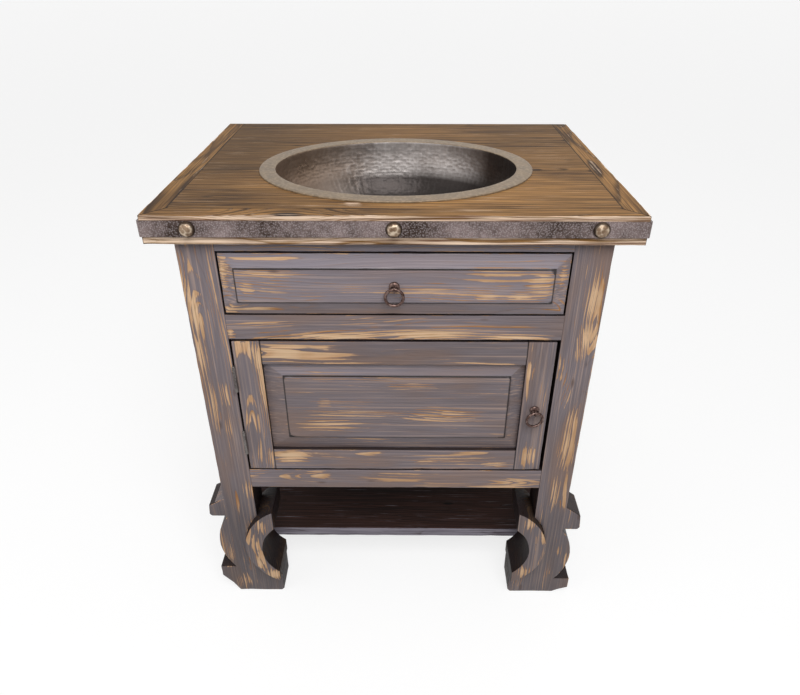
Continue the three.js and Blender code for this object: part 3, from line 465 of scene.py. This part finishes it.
# Grain, across and depth axes of each board, and how much of its arrises is worn.
# A name that ends in _ stands for a left and a right board
stainedBoards = {
    "top_edge_board_front": ("xyz", 1.0), "top_edge_board_": ("yxz", 0.8), "top_plank_front": ("xyz", 0),
    "top_plank_middle": ("xyz", 0), "top_plank_back": ("xyz", 0)}
paintedBoards = {
    "front_leg_": ("zxy", 0.6), "foot_scroll_": ("zxy", 0.35), "rear_leg_": ("zxy", 0.7),
    "face_rail_top": ("xzy", 0.4), "face_rail_middle": ("xzy", 0.5), "face_rail_bottom": ("xzy", 0.5),
    "side_rail_bottom_": ("yzx", 0.7), "side_rail_top_": ("yzx", 0.5), "side_panel_": ("zyx", 0.4),
    "back_rail_bottom": ("xzy", 0.5), "back_rail_top": ("xzy", 0.4), "back_panel": ("zxy", 0.5),
    "shelf_stretcher_": ("yzx", 0.4), "door_stile_left": ("zxy", 0.4), "door_stile_right": ("zxy", 0.3),
    "door_rail_bottom": ("xzy", 0.4), "door_rail_top": ("xzy", 0.4), "door_panel": ("xzy", 0.45),
    "drawer_front": ("xzy", 0.5)}
darkBoards = {"cabinet_floor": ("xyz", 0.3), "shelf": ("xyz", 0.3)}
rawBoards = {
    "drawer_side_": ("yzx", 0.3), "drawer_back": ("xzy", 0.3), "drawer_bottom": ("xyz", 0.3),
    "drawer_runner_": ("yzx", 0.3)}


# Glued joints stay crisp; what a hand or a brush can reach is eased
def isFree(node, edge, low, high):
    a, b = edge.verts[0].co, edge.verts[1].co
    middle = (a + b) / 2
    run = (b - a).normalized()
    near = boardLook["near"]
    if node.startswith("front_leg"):
        return abs(middle.x) > boardLook["leg outside"] or middle.z < boardLook["foot top"]
    if node.startswith("top_edge"):
        atFront = middle.y < low.y + near
        return atFront if node.endswith("front") else abs(middle.x) > abs(low.x + high.x) / 2
    if node.startswith(("top_plank", "side_panel")):
        return False
    if node.startswith(("face_rail", "back_rail", "door_rail")):
        return abs(run.x) > 0.5
    if node.startswith("side_rail"):
        return abs(run.y) > 0.5
    if node in ("drawer_front", "door_panel"):
        return min(abs(middle.x - low.x), abs(middle.x - high.x), abs(middle.z - low.z),
                   abs(middle.z - high.z)) < near
    return True


def pointsAlong(edges, step):
    points = []
    for edge in edges:
        a, b = edge.verts[0].co, edge.verts[1].co
        count = max(1, int((b - a).length / step))
        points += [a.lerp(b, i / count) for i in range(count + 1)]
    tree = kdtree.KDTree(max(1, len(points)))
    for i, point in enumerate(points or [Vector((9, 9, 9))]):
        tree.insert(point, i)
    tree.balance()
    return tree


def cutIntoCells(bm, low, high, cells):
    for k in range(3):
        normal = Vector([1.0 if k == j else 0.0 for j in range(3)])
        place = low[k] + 0.43 * cells[k]
        while place < high[k]:
            bmesh.ops.bisect_plane(bm, geom=bm.verts[:] + bm.edges[:] + bm.faces[:], dist=1e-6,
                                   plane_co=normal * place, plane_no=normal)
            place += cells[k]


# Bare share of the shelf's front and of the top's outer edges, and a small chip in front of the rim
rubLook = {"shelf": 1.1, "top edge": 0.85, "chip": (-66, -240, 12, 8, 0.95)}


def rubAt(node, point, normal):
    if node == "shelf" and normal.y < -0.5:
        return rubLook["shelf"]
    if node.startswith("top_edge"):
        sideways = abs(normal.x) > 0.5 and normal.x * point.x > 0
        outside = normal.y < -0.5 if node.endswith("front") else sideways
        return rubLook["top edge"] if outside else 0.0
    if node == "top_plank_front":
        x, y, halfWidth, halfDepth, strength = rubLook["chip"]
        away = math.hypot((point.x / mm - x) / halfWidth, (point.y / mm - y) / halfDepth)
        return min(strength, max(0.0, 1.5 - away))
    most = 0.0
    for x, z, halfWidth, halfHeight, strength in rubs.get(node, ()):
        away = math.hypot((point.x / mm - x) / halfWidth, (point.z / mm - z) / halfHeight)
        most = max(most, strength * min(1.0, max(0.0, 1.4 - away)))
    return most


# The cut sides of the feet are dark, partly as dark end grain and partly as painted shade; the reveals
# round door and drawer, the steps of the panels and what faces the inside of the cabinet are dark as
# painted shade
shadeShares = {"reveal": 0.94, "foot": 0.82, "edge": 0.9}


def shadeOf(node, face):
    middle = face.calc_center_median()
    if abs(face.normal.y) > 0.5:
        return 0.0
    if face.normal.x * middle.x < -0.5 * abs(middle.x):
        return shadeShares["reveal"]
    if node.startswith("front_leg") and middle.z < boardLook["foot top"]:
        return shadeShares["foot"]
    if node.startswith("front_leg"):
        return shadeShares["reveal"] if abs(middle.x) < boardLook["leg inside"] else 0.0
    edged = ("foot_scroll", "face_rail", "door_stile", "door_rail", "door_panel", "drawer_front")
    return shadeShares["edge"] if node.startswith(edged) else 0.0


# Lighter and darker boards, from -1 to 1. The lighter drawer front and top face rail are painted light,
# the darker feet painted shade, the left one more; the other values differ from board to board
boardTonesAndPaintedLight = {
    "drawer_front": 0.24, "door_rail_top": -0.22, "face_rail_bottom": 0.1, "door_rail_bottom": 0.06,
    "door_panel": -0.02, "door_stile_left": -0.08, "door_stile_right": -0.1, "face_rail_top": 0.45,
    "top_plank_front": 0.42, "top_plank_middle": -0.02, "top_plank_back": -0.04,
    "top_edge_board_front": 0.1, "top_edge_board_left": -0.12, "shelf": -0.1, "foot_scroll_left": -0.5,
    "foot_scroll_right": -0.3}
# Painted shade darkens the legs downwards and the top sidewards, by so much once so long a stretch is
# passed.
# The tops of the bevels get a painted cool highlight, the other sides of them a little painted shade
paintedLightShifts = {
    "leg from": 330 * mm, "leg over": 110 * mm, "left leg": 0.6, "right leg": 0.38, "top bevel": 0.3,
    "other bevel": -0.12, "top right": (0.2, 300 * mm), "top left": (0.72, 280 * mm)}


def toneAndLightAt(node, point, normal):
    tone = boardTonesAndPaintedLight.get(node, 0.0)
    # Painted shade on the legs towards the floor
    if node.startswith("front_leg"):
        low = min(1.0, max(0.0, (paintedLightShifts["leg from"] - point.z) / paintedLightShifts["leg over"]))
        tone -= low * paintedLightShifts["left leg" if point.x < 0 else "right leg"]
    # Painted highlight on the upper bevels, painted shade on the others
    if node in ("drawer_front", "door_panel") and abs(normal.y) < 0.99:
        tone += paintedLightShifts["top bevel" if normal.z > 0.1 else "other bevel"]
    # Painted shade towards both sides of the top
    if node.startswith("top_plank"):
        drop, length = paintedLightShifts["top right" if point.x > 0 else "top left"]
        tone -= drop * min(1.0, abs(point.x) / length)
    return tone


# A finer copy of a CAD board with eased, uneven arrises and what its finish needs to know
def makeBoard(node, axes, wear, material):
    look = boardLook
    chance = random.Random(node)
    low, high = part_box(node)
    middle = (low + high) / 2
    bm = bmesh.new()
    bm.from_mesh(frame["nodes"][node].data)
    bmesh.ops.remove_doubles(bm, verts=bm.verts, dist=1e-5)
    bmesh.ops.dissolve_limit(bm, angle_limit=math.radians(0.6), verts=bm.verts, edges=bm.edges)
    creases = [e for e in bm.edges if len(e.link_faces) == 2 and e.calc_face_angle() > look["sharp"]]
    free = [e for e in creases if e.is_convex and isFree(node, e, low, high)]
    freeSet = set(free)
    freeTree = pointsAlong(free, look["edge step"])
    # Creases that are not eased get a dark line: dark joints, and in the panel steps a painted shadow
    shown = () if node.startswith(("front_leg", "face_rail")) else [e for e in creases if e not in freeSet]
    seamTree = pointsAlong(shown, look["edge step"] / 3)
    bmesh.ops.bevel(bm, geom=free, offset=look["ease"], offset_type="OFFSET", segments=2, profile=0.6,
                    affect="EDGES", clamp_overlap=True)
    grainOf = ["xyz".index(letter) for letter in axes]
    cells = Vector((0, 0, 0))
    for place, k in enumerate(grainOf):
        cells[k] = look["cell"][place]
    cutIntoCells(bm, low, high, cells)
    bmesh.ops.triangulate(bm, faces=[f for f in bm.faces if len(f.verts) > 4])
    bm.normal_update()
    shift = Vector((chance.uniform(-20, 20), chance.uniform(-0.4, 0.4) * (high - low)[grainOf[1]],
                    chance.uniform(0.014, 0.04)))
    if node.startswith("top_plank"):
        shift.y += 0.85 * (high - low).y    # planks cut far from the heart, so the lines run straight
    edge, seam, rub = (bm.verts.layers.float.new(name) for name in ("edgeDistance", "seamDistance", "rub"))
    grain = bm.verts.layers.float_vector.new("grain")
    sawn = bm.faces.layers.float.new("sawn")
    for vert in bm.verts:
        away = freeTree.find(vert.co)[2]
        vert[edge] = away / wear if wear else 1.0
        vert[seam] = seamTree.find(vert.co)[2]
        vert[rub] = rubAt(node, vert.co, vert.normal)
        centred = vert.co - middle
        vert[grain] = Vector([centred[k] for k in grainOf]) + shift
        worn = max(0.0, 1 - away / (3.5 * look["ease"]))
        if worn:
            dent = noise.noise(vert.co * look["wobbles per metre"] + shift)
            vert.co -= vert.normal * look["wobble"] * worn * max(0.0, dent)
    tone = bm.loops.layers.float.new("tone")
    for face in bm.faces:
        for loop in face.loops:
            loop[tone] = toneAndLightAt(node, loop.vert.co, face.normal)
        face[sawn] = shadeOf(node, face)
    finishPiece(bm, node + "_board", [node], [material], look["sharp"])


def finishPiece(bm, name, nodes, materials, sharp):
    for face in bm.faces:
        face.smooth = True
    mesh = bpy.data.meshes.new(name)
    bm.to_mesh(mesh)
    bm.free()
    mesh.set_sharp_from_angle(angle=sharp)
    for material in materials:
        mesh.materials.append(material)
    piece = inScene(name, mesh)
    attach(piece, nodeBody[nodes[0]])
    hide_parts(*nodes)


for boards, material, slot in ((stainedBoards, stainedPine, "stained_pine"),
                               (paintedBoards, paintedPine, "painted_pine"),
                               (darkBoards, darkPine, "dark_pine"), (rawBoards, rawPine, "raw_pine")):
    for node, (axes, wear) in boards.items():
        for side in ("left", "right") if node.endswith("_") else ("",):
            makeBoard(node + side, axes, wear, material)
    print(slot, "boards made")


# Basin

basinLook = {
    "rim length": 491 * mm, "rim depth": 399 * mm, "rim width": 28.5 * mm, "rim thickness": 2.5 * mm,
    "rim edge": 1.0 * mm, "depth": 140 * mm, "wall": 2.0 * mm, "flat radius": 34 * mm, "roundness": 2.4,
    "drain radius": 22 * mm, "middle": (0.0, 256 * mm - depthMiddle, 865.15 * mm), "steps round": 384,
    "steps down": 88, "steps outside": 22, "mark": bowlLook["mark"], "loose": bowlLook["loose"],
    "beating": 1.3 * mm, "rows radius": 190 * mm, "beaten below": 6 * mm, "plain centre": 50 * mm,
    "centre blends over": 60 * mm}


# Points of a circle of radius 1
def circle(steps):
    return [(math.cos(math.tau * i / steps), math.sin(math.tau * i / steps)) for i in range(steps)]


# The oval falls off steeply below the rim and rounds into a flat seat for the drain
def bowlSection(look, wall, steps):
    openX = look["rim length"] / 2 - look["rim width"] + wall
    openY = look["rim depth"] / 2 - look["rim width"] + wall
    flat = look["flat radius"] + wall
    deep = look["depth"] - look["rim thickness"] + wall
    section = []
    for i in range(steps + 1):
        angle = math.pi / 2 * i / steps
        reach = math.cos(angle) ** (2 / look["roundness"]) if i < steps else 0.0
        drop = math.sin(angle) ** (2 / look["roundness"])
        section.append((flat + (openX - flat) * reach, flat + (openY - flat) * reach, -deep * drop))
    return section


# A tree that takes and gives one mesh and has a socket for each of the numbers named
def newTree(name, numbers):
    tree = bpy.data.node_groups.new(name, "GeometryNodeTree")
    tree.is_modifier = True
    for way in ("INPUT", "OUTPUT"):
        tree.interface.new_socket("Mesh", in_out=way, socket_type="NodeSocketGeometry")
    sockets = {}
    for key in numbers:
        kind = "NodeSocketInt" if key == "seed" else "NodeSocketFloat"
        sockets[key] = tree.interface.new_socket(key, in_out="INPUT", socket_type=kind).identifier
    return tree, sockets, tree.nodes.new("NodeGroupInput").outputs


# Moves the surface along its normal
def displaced(tree, mesh, depth):
    outwards = add(tree, "GeometryNodeInputNormal")
    offset = add(tree, "ShaderNodeVectorMath", {0: outwards, "Scale": depth}, operation="SCALE")
    return add(tree, "GeometryNodeSetPosition", {"Geometry": mesh, "Offset": offset})


# Sinks a dish for every hammer blow into the inside of the bowl and dresses bowl and rim
def beatenTree():
    tree, sockets, given = newTree("beatenBowl", ("mark", "loose", "beating"))
    rows = add(tree, "GeometryNodeInputNamedAttribute", {"Name": "hammerRows"}, data_type="FLOAT_VECTOR")
    often = add(tree, "ShaderNodeMath", {0: 1.0, 1: given["mark"]}, operation="DIVIDE")
    blow = add(tree, "ShaderNodeTexVoronoi", {
        "Vector": rows, "Scale": often, "Randomness": given["loose"]}, out="Distance")
    share = add(tree, "GeometryNodeInputNamedAttribute", {"Name": "beaten"}, data_type="FLOAT")
    for operation, other in (("POWER", 2.0), ("SUBTRACT", 0.35), ("MINIMUM", 0.0), ("MULTIPLY", share),
                             ("MULTIPLY", given["beating"])):
        blow = add(tree, "ShaderNodeMath", {0: blow, 1: other}, operation=operation)
    bowl = displaced(tree, given["Mesh"], blow)
    bowl = add(tree, "GeometryNodeRealizeInstances", {"Geometry": bowl})
    bowl = add(tree, "GeometryNodeSetMaterial", {"Geometry": bowl, "Material": beatenCopper})
    atRim = add(tree, "GeometryNodeInputNamedAttribute", {"Name": "rimFace"}, data_type="FLOAT")
    atRim = add(tree, "FunctionNodeCompare", {
        0: atRim, 1: 0.5}, data_type="FLOAT", operation="GREATER_THAN")
    bowl = add(tree, "GeometryNodeSetMaterial", {
        "Geometry": bowl, "Selection": atRim, "Material": rimCopper})
    tree.links.new(bowl, tree.nodes.new("NodeGroupOutput").inputs[0])
    return tree, sockets


# Runs a tree over a mesh and gives back the plain mesh that it makes
def runTree(name, mesh, tree, sockets, sizes):
    holder = inScene(name, mesh)
    modifier = holder.modifiers.new(name, "NODES")
    modifier.node_group = tree
    for key, identifier in sockets.items():
        modifier[identifier] = sizes[key]
    graph = bpy.context.evaluated_depsgraph_get()
    made = bpy.data.meshes.new_from_object(holder.evaluated_get(graph), depsgraph=graph)
    bpy.data.objects.remove(holder)
    bm = bmesh.new()
    bm.from_mesh(made)
    return bm, list(made.materials)


def makeBasin(look):
    bm = bmesh.new()
    halfX, halfY, half = look["rim length"] / 2, look["rim depth"] / 2, look["rim thickness"] / 2
    edge, width = look["rim edge"], look["rim width"]
    floorIn = -(look["depth"] - look["rim thickness"])
    inside = bowlSection(look, 0.0, look["steps down"])[::-1]
    outside = [(a, b, h - half) for a, b, h in bowlSection(look, look["wall"], look["steps outside"])]
    rounding = [(edge * (1 - math.cos(t)), edge * math.sin(t)) for t in (0, 0.5, 1.05, math.pi / 2)]
    rim = [(halfX - width + d, halfY - width + d, half - edge + h) for d, h in rounding]
    rim += [(halfX - width * s, halfY - width * s, half) for s in (0.75, 0.5, 0.25)]
    rim += [(halfX - d, halfY - d, half - edge + h) for d, h in rounding[::-1]]
    rim += [(halfX, halfY, -half)]
    drain = look["drain radius"]
    rings = [(drain, drain, floorIn)] + inside[:-1] + rim + outside + [(drain, drain, outside[-1][2])]
    rows = bm.verts.layers.float_vector.new("hammerRows")
    beaten = bm.verts.layers.float.new("beaten")
    rimFace = bm.faces.layers.float.new("rimFace")
    centre, radius = Vector(look["middle"]), look["rows radius"]
    loops, down = [], 0.0
    for k, (x, y, height) in enumerate(rings):
        if k:
            down += math.dist(rings[k], rings[k - 1])
        loop = []
        for c, s in circle(look["steps round"]):
            vert = bm.verts.new(centre + Vector((x * c, y * s, height)))
            vert[rows] = (c * radius, s * radius, down)
            if k < len(inside):
                fromCentre = (x - look["plain centre"]) / look["centre blends over"]
                vert[beaten] = min(1.0, -height / look["beaten below"], max(0.0, fromCentre))
            loop.append(vert)
        loops.append(loop)
    rimFrom, rimTo = len(inside), len(inside) + len(rim) - 1
    for k, loop in enumerate(loops):
        nextLoop = loops[(k + 1) % len(loops)]
        for i in range(len(loop)):
            j = (i + 1) % len(loop)
            face = bm.faces.new((loop[i], loop[j], nextLoop[j], nextLoop[i]))
            face[rimFace] = 1.0 if rimFrom <= k < rimTo else 0.0
            face.smooth = True
    bmesh.ops.recalc_face_normals(bm, faces=bm.faces)
    smooth = bpy.data.meshes.new("smoothBowl")
    bm.to_mesh(smooth)
    bm.free()
    tree, sockets = beatenTree()
    bm, materials = runTree("beatenBowl", smooth, tree, sockets, look)
    finishPiece(bm, "beaten_basin", ["sink_bowl"], materials, math.radians(50))


makeBasin(basinLook)
print("basin made")


# Ring pulls

pullSizes = {
    "ring radius": 14.4 * mm, "ring wire": 2.6 * mm, "eye wire": 1.5 * mm, "eye bore": 2.9 * mm,
    "stand-off": 10.5 * mm, "plate radius": 8.8 * mm, "plate height": 4 * mm, "plate edge": 1 * mm,
    "seat": 0.3 * mm, "beating": 0.22 * mm, "beats per metre": 160.0, "steps": 56}
pullPlaces = {"drawer": (0.0, 9 * mm, 743.1 * mm, 0.0), "door": (250.5 * mm, 17 * mm, 494.5 * mm, 9.0)}


# Turns an outline of radius and height about the local Z axis; one that ends on the axis is closed there
def turnOutline(bm, outline, steps, place, comesBack=False):
    rings = []
    for radius, height in outline:
        rings.append([bm.verts.new(place @ Vector((radius * c, radius * s, height)))
                      for c, s in circle(steps if radius else 1)])
    pairs = list(zip(rings, rings[1:])) + ([(rings[-1], rings[0])] if comesBack else [])
    for first, second in pairs:
        for i in range(steps):
            j = (i + 1) % steps
            turn = ((first, i), (first, j), (second, j), (second, i))
            corners = [ring[k % len(ring)] for ring, k in turn]
            bm.faces.new(list(dict.fromkeys(corners)))


def roundWire(radius, wire, count=16):
    return [(radius + wire * c, wire * s) for c, s in circle(count)]


def beat(bm, depth, perMetre):
    bm.normal_update()
    for vert in bm.verts:
        vert.co -= vert.normal * depth * max(0.0, noise.noise(vert.co * perMetre) + 0.1)


def makePull(name, sizes):
    x, woodY, z, turn = pullPlaces[name]
    woodY -= sizes["seat"] + depthMiddle
    toFront = Matrix.Rotation(math.pi / 2, 4, "X")
    plate = Matrix.Translation((x, woodY, z)) @ toFront
    edge, radius, height = sizes["plate edge"], sizes["plate radius"], sizes["plate height"]
    bm = bmesh.new()
    dome = [(radius * math.cos(t), edge + height * math.sin(t)) for t in (0, 0.25, 0.5, 0.8, 1.1, 1.35)]
    turnOutline(bm, [(0, 0), (radius, 0)] + dome + [(0, edge + height)], sizes["steps"], plate)
    stem = sizes["stand-off"] - sizes["eye bore"] - 0.4 * sizes["eye wire"]
    turnOutline(bm, [(0, edge), (sizes["eye wire"], edge), (sizes["eye wire"], stem), (0, stem)], 16, plate)
    eyeY = woodY - sizes["stand-off"]
    eye = Matrix.Translation((x, eyeY, z)) @ Matrix.Rotation(math.pi / 2, 4, "Y")
    eyeWire = roundWire(sizes["eye bore"] + sizes["eye wire"], sizes["eye wire"])
    turnOutline(bm, eyeWire, sizes["steps"], eye, comesBack=True)
    bmesh.ops.recalc_face_normals(bm, faces=bm.faces)
    finishPiece(bm, name + "_pull_dome", [name + "_pull_plate"], [pullBronze],
                math.radians(40))
    bm = bmesh.new()
    hang = Matrix.Translation((x, eyeY, z)) @ Matrix.Rotation(math.radians(turn), 4, "Z")
    hang = hang @ Matrix.Translation((0, 0, -sizes["ring radius"])) @ toFront
    ringWire = roundWire(sizes["ring radius"], sizes["ring wire"])
    turnOutline(bm, ringWire, sizes["steps"], hang, comesBack=True)
    bmesh.ops.recalc_face_normals(bm, faces=bm.faces)
    beat(bm, sizes["beating"], sizes["beats per metre"])
    finishPiece(bm, name + "_pull_ring", [name + "_ring"], [pullBronze], math.radians(60))


for name in pullPlaces:
    makePull(name, pullSizes)
print("ring pulls made")


# Nail heads

nailSizes = {
    "radius": 12.7 * mm, "height": 8 * mm, "dent": 0.9 * mm, "dents per metre": 190.0, "seed": 7,
    "from strap": 3.6 * mm, "height above floor": 843.3 * mm, "across": 310 * mm, "side": 384.6 * mm,
    "side depth": 470 * mm}


# One beaten head, a squashed ball with a flat back, is set on every nail point and turned outwards
def nailTree():
    tree, sockets, given = newTree("nailHeads", ("radius", "height", "dent", "dents per metre", "seed"))
    ball = add(tree, "GeometryNodeMeshIcoSphere", {"Subdivisions": 5})
    place = add(tree, "GeometryNodeInputPosition")
    xs, ys, zs = (add(tree, "ShaderNodeSeparateXYZ", {0: place}, out=letter) for letter in "XYZ")
    flat = add(tree, "ShaderNodeMath", {0: zs, 1: -0.02}, operation="MAXIMUM")
    sized = add(tree, "ShaderNodeCombineXYZ", {0: given["radius"], 1: given["radius"], 2: given["height"]})
    domed = add(tree, "ShaderNodeCombineXYZ", {0: xs, 1: ys, 2: flat})
    shaped = add(tree, "ShaderNodeVectorMath", {0: domed, 1: sized}, operation="MULTIPLY")
    across = add(tree, "ShaderNodeCombineXYZ", {0: xs, 1: ys})
    towardsRim = add(tree, "ShaderNodeVectorMath", {0: across}, out="Value", operation="LENGTH")
    ball = add(tree, "GeometryNodeStoreNamedAttribute", {
        "Geometry": ball, "Name": "towardsRim", "Value": towardsRim})
    head = add(tree, "GeometryNodeSetPosition", {"Geometry": ball, "Position": shaped})
    heads = add(tree, "GeometryNodeInstanceOnPoints", {"Points": given["Mesh"], "Instance": head})
    facing = add(tree, "GeometryNodeInputNamedAttribute", {"Name": "facing"}, data_type="FLOAT_VECTOR")
    turned = add(tree, "FunctionNodeAlignRotationToVector", {"Vector": facing}, axis="Z")
    spin = add(tree, "FunctionNodeRandomValue", {
        "Seed": given["seed"], 3: math.tau}, out=1, data_type="FLOAT")
    spun = add(tree, "FunctionNodeAxisAngleToRotation", {"Axis": (0, 0, 1), "Angle": spin})
    turned = add(tree, "FunctionNodeRotateRotation", {0: turned, 1: spun}, rotation_space="LOCAL")
    tree.links.new(turned, heads.node.inputs["Rotation"])
    real = add(tree, "GeometryNodeRealizeInstances", {"Geometry": heads})
    where = add(tree, "GeometryNodeInputPosition")
    scaled = add(tree, "ShaderNodeVectorMath", {
        0: where, "Scale": given["dents per metre"]}, operation="SCALE")
    deep = add(tree, "ShaderNodeTexVoronoi", {"Vector": scaled, "Scale": 1.0}, out="Distance")
    for operation, other in (("ADD", -0.45), ("MINIMUM", 0.0), ("MULTIPLY", given["dent"])):
        deep = add(tree, "ShaderNodeMath", {0: deep, 1: other}, operation=operation)
    beaten = displaced(tree, real, deep)
    dressed = add(tree, "GeometryNodeSetMaterial", {"Geometry": beaten, "Material": nailBronze})
    tree.links.new(dressed, tree.nodes.new("NodeGroupOutput").inputs[0])
    return tree, sockets


def makeNailHeads(sizes):
    mesh = bpy.data.meshes.new("nailPoints")
    front = -sizes["from strap"] - depthMiddle
    high, side = sizes["height above floor"], sizes["side"]
    points = [(x, front, high) for x in (-sizes["across"], 0.0, sizes["across"])]
    points += [(x, sizes["side depth"] - depthMiddle, high) for x in (-side, side)]
    mesh.from_pydata(points, [], [])
    facing = mesh.attributes.new("facing", "FLOAT_VECTOR", "POINT")
    for i, direction in enumerate([(0, -1, 0)] * 3 + [(-1, 0, 0), (1, 0, 0)]):
        facing.data[i].vector = direction
    tree, sockets = nailTree()
    bm, materials = runTree("nailHeads", mesh, tree, sockets, sizes)
    nodes = ["clavo_front_left", "clavo_front_centre", "clavo_front_right", "clavo_side_left",
             "clavo_side_right"]
    finishPiece(bm, "nail_heads", nodes, materials, math.radians(70))


makeNailHeads(nailSizes)
print("nail heads made")


# Metal pieces that keep their CAD mesh

plainMetal = {"iron_strap": strapIron, "drain_body": beatenCopper, "drain_nut": beatenCopper}
plainMetal.update({node: hingeSteel for node in frame["nodes"] if node.startswith("hinge")})
for node, material in plainMetal.items():
    mesh = frame["nodes"][node].data
    mesh.materials.clear()
    mesh.materials.append(material)
print("metal dressed:", len(plainMetal))


# Camera, floor and light

cameraLook = {
    "place": (0.0156, -1.2147, 1.1978), "yaw": math.radians(-0.40), "pitch": math.radians(31.42),
    "lens": 29.18, "sensor": 36.0}
# Place, size and power of each lamp
lightLook = {
    "world": 0.30, "floor": "#8a8a8a", "floor glow": 0.77, "floor size": 60.0, "aim": (0, 0, 0.5),
    "key": ((0.35, -1.9, 2.7), 1.7, 60.0), "fill": ((-2.3, -1.4, 1.9), 2.0, 16.0),
    "back": ((0.6, 1.6, 2.8), 2.0, 6.0)}


def makeCamera(look):
    turn = Matrix.Rotation(-look["yaw"], 4, "Z") @ Matrix.Rotation(math.pi / 2 - look["pitch"], 4, "X")
    data = bpy.data.cameras.new("photoCamera")
    data.lens = look["lens"]
    data.sensor_width = look["sensor"]
    camera = inScene("photoCamera", data)
    camera.matrix_world = Matrix.Translation(look["place"]) @ turn
    bpy.context.scene.camera = camera


def makeSoftLamp(name, place, size, power):
    data = bpy.data.lights.new(name, "AREA")
    data.size = size
    data.energy = power
    aim = Vector(lightLook["aim"]) - Vector(place)
    turn = aim.to_track_quat("-Z", "Y").to_matrix().to_4x4()
    inScene(name, data).matrix_world = Matrix.Translation(place) @ turn


# Whether the camera sees a place directly, in a mirror or through glass, and not by its light
def seenDirectly(tree):
    seen = add(tree, "ShaderNodeLightPath", out="Is Camera Ray")
    for way in ("Is Glossy Ray", "Is Transmission Ray"):
        other = add(tree, "ShaderNodeLightPath", out=way)
        seen = add(tree, "ShaderNodeMath", {0: seen, 1: other}, operation="MAXIMUM")
    return seen


def makeFloor(look):
    bm = bmesh.new()
    bmesh.ops.create_grid(bm, x_segments=1, y_segments=1, size=look["floor size"])
    mesh = bpy.data.meshes.new("paleFloor")
    bm.to_mesh(mesh)
    bm.free()
    floor = inScene("paleFloor", mesh)
    material, tree = newMaterial("paleFloorPaint")
    glow = add(tree, "ShaderNodeMath", {0: seenDirectly(tree), 1: look["floor glow"]}, operation="MULTIPLY")
    surface = add(tree, "ShaderNodeBsdfPrincipled", {
        "Base Color": linear(look["floor"]), "Roughness": 0.9, "Emission Color": (1, 1, 1, 1),
        "Emission Strength": glow})
    add(tree, "ShaderNodeOutputMaterial", {"Surface": surface})
    mesh.materials.append(material)


def makeWorld(look):
    world = bpy.data.worlds.new("studioAir")
    bpy.context.scene.world = world
    world.use_nodes = True
    tree = world.node_tree
    tree.nodes.clear()
    strength = add(tree, "ShaderNodeMapRange", {"Value": seenDirectly(tree), "To Min": look["world"]})
    sky = add(tree, "ShaderNodeBackground", {"Color": (1, 1, 1, 1), "Strength": strength})
    add(tree, "ShaderNodeOutputWorld", {"Surface": sky})


makeCamera(cameraLook)
for name in ("key", "fill", "back"):
    makeSoftLamp(name + "Lamp", *lightLook[name])
makeFloor(lightLook)
makeWorld(lightLook)
bpy.context.scene.view_settings.view_transform = "Standard"
print("camera, floor and light made")
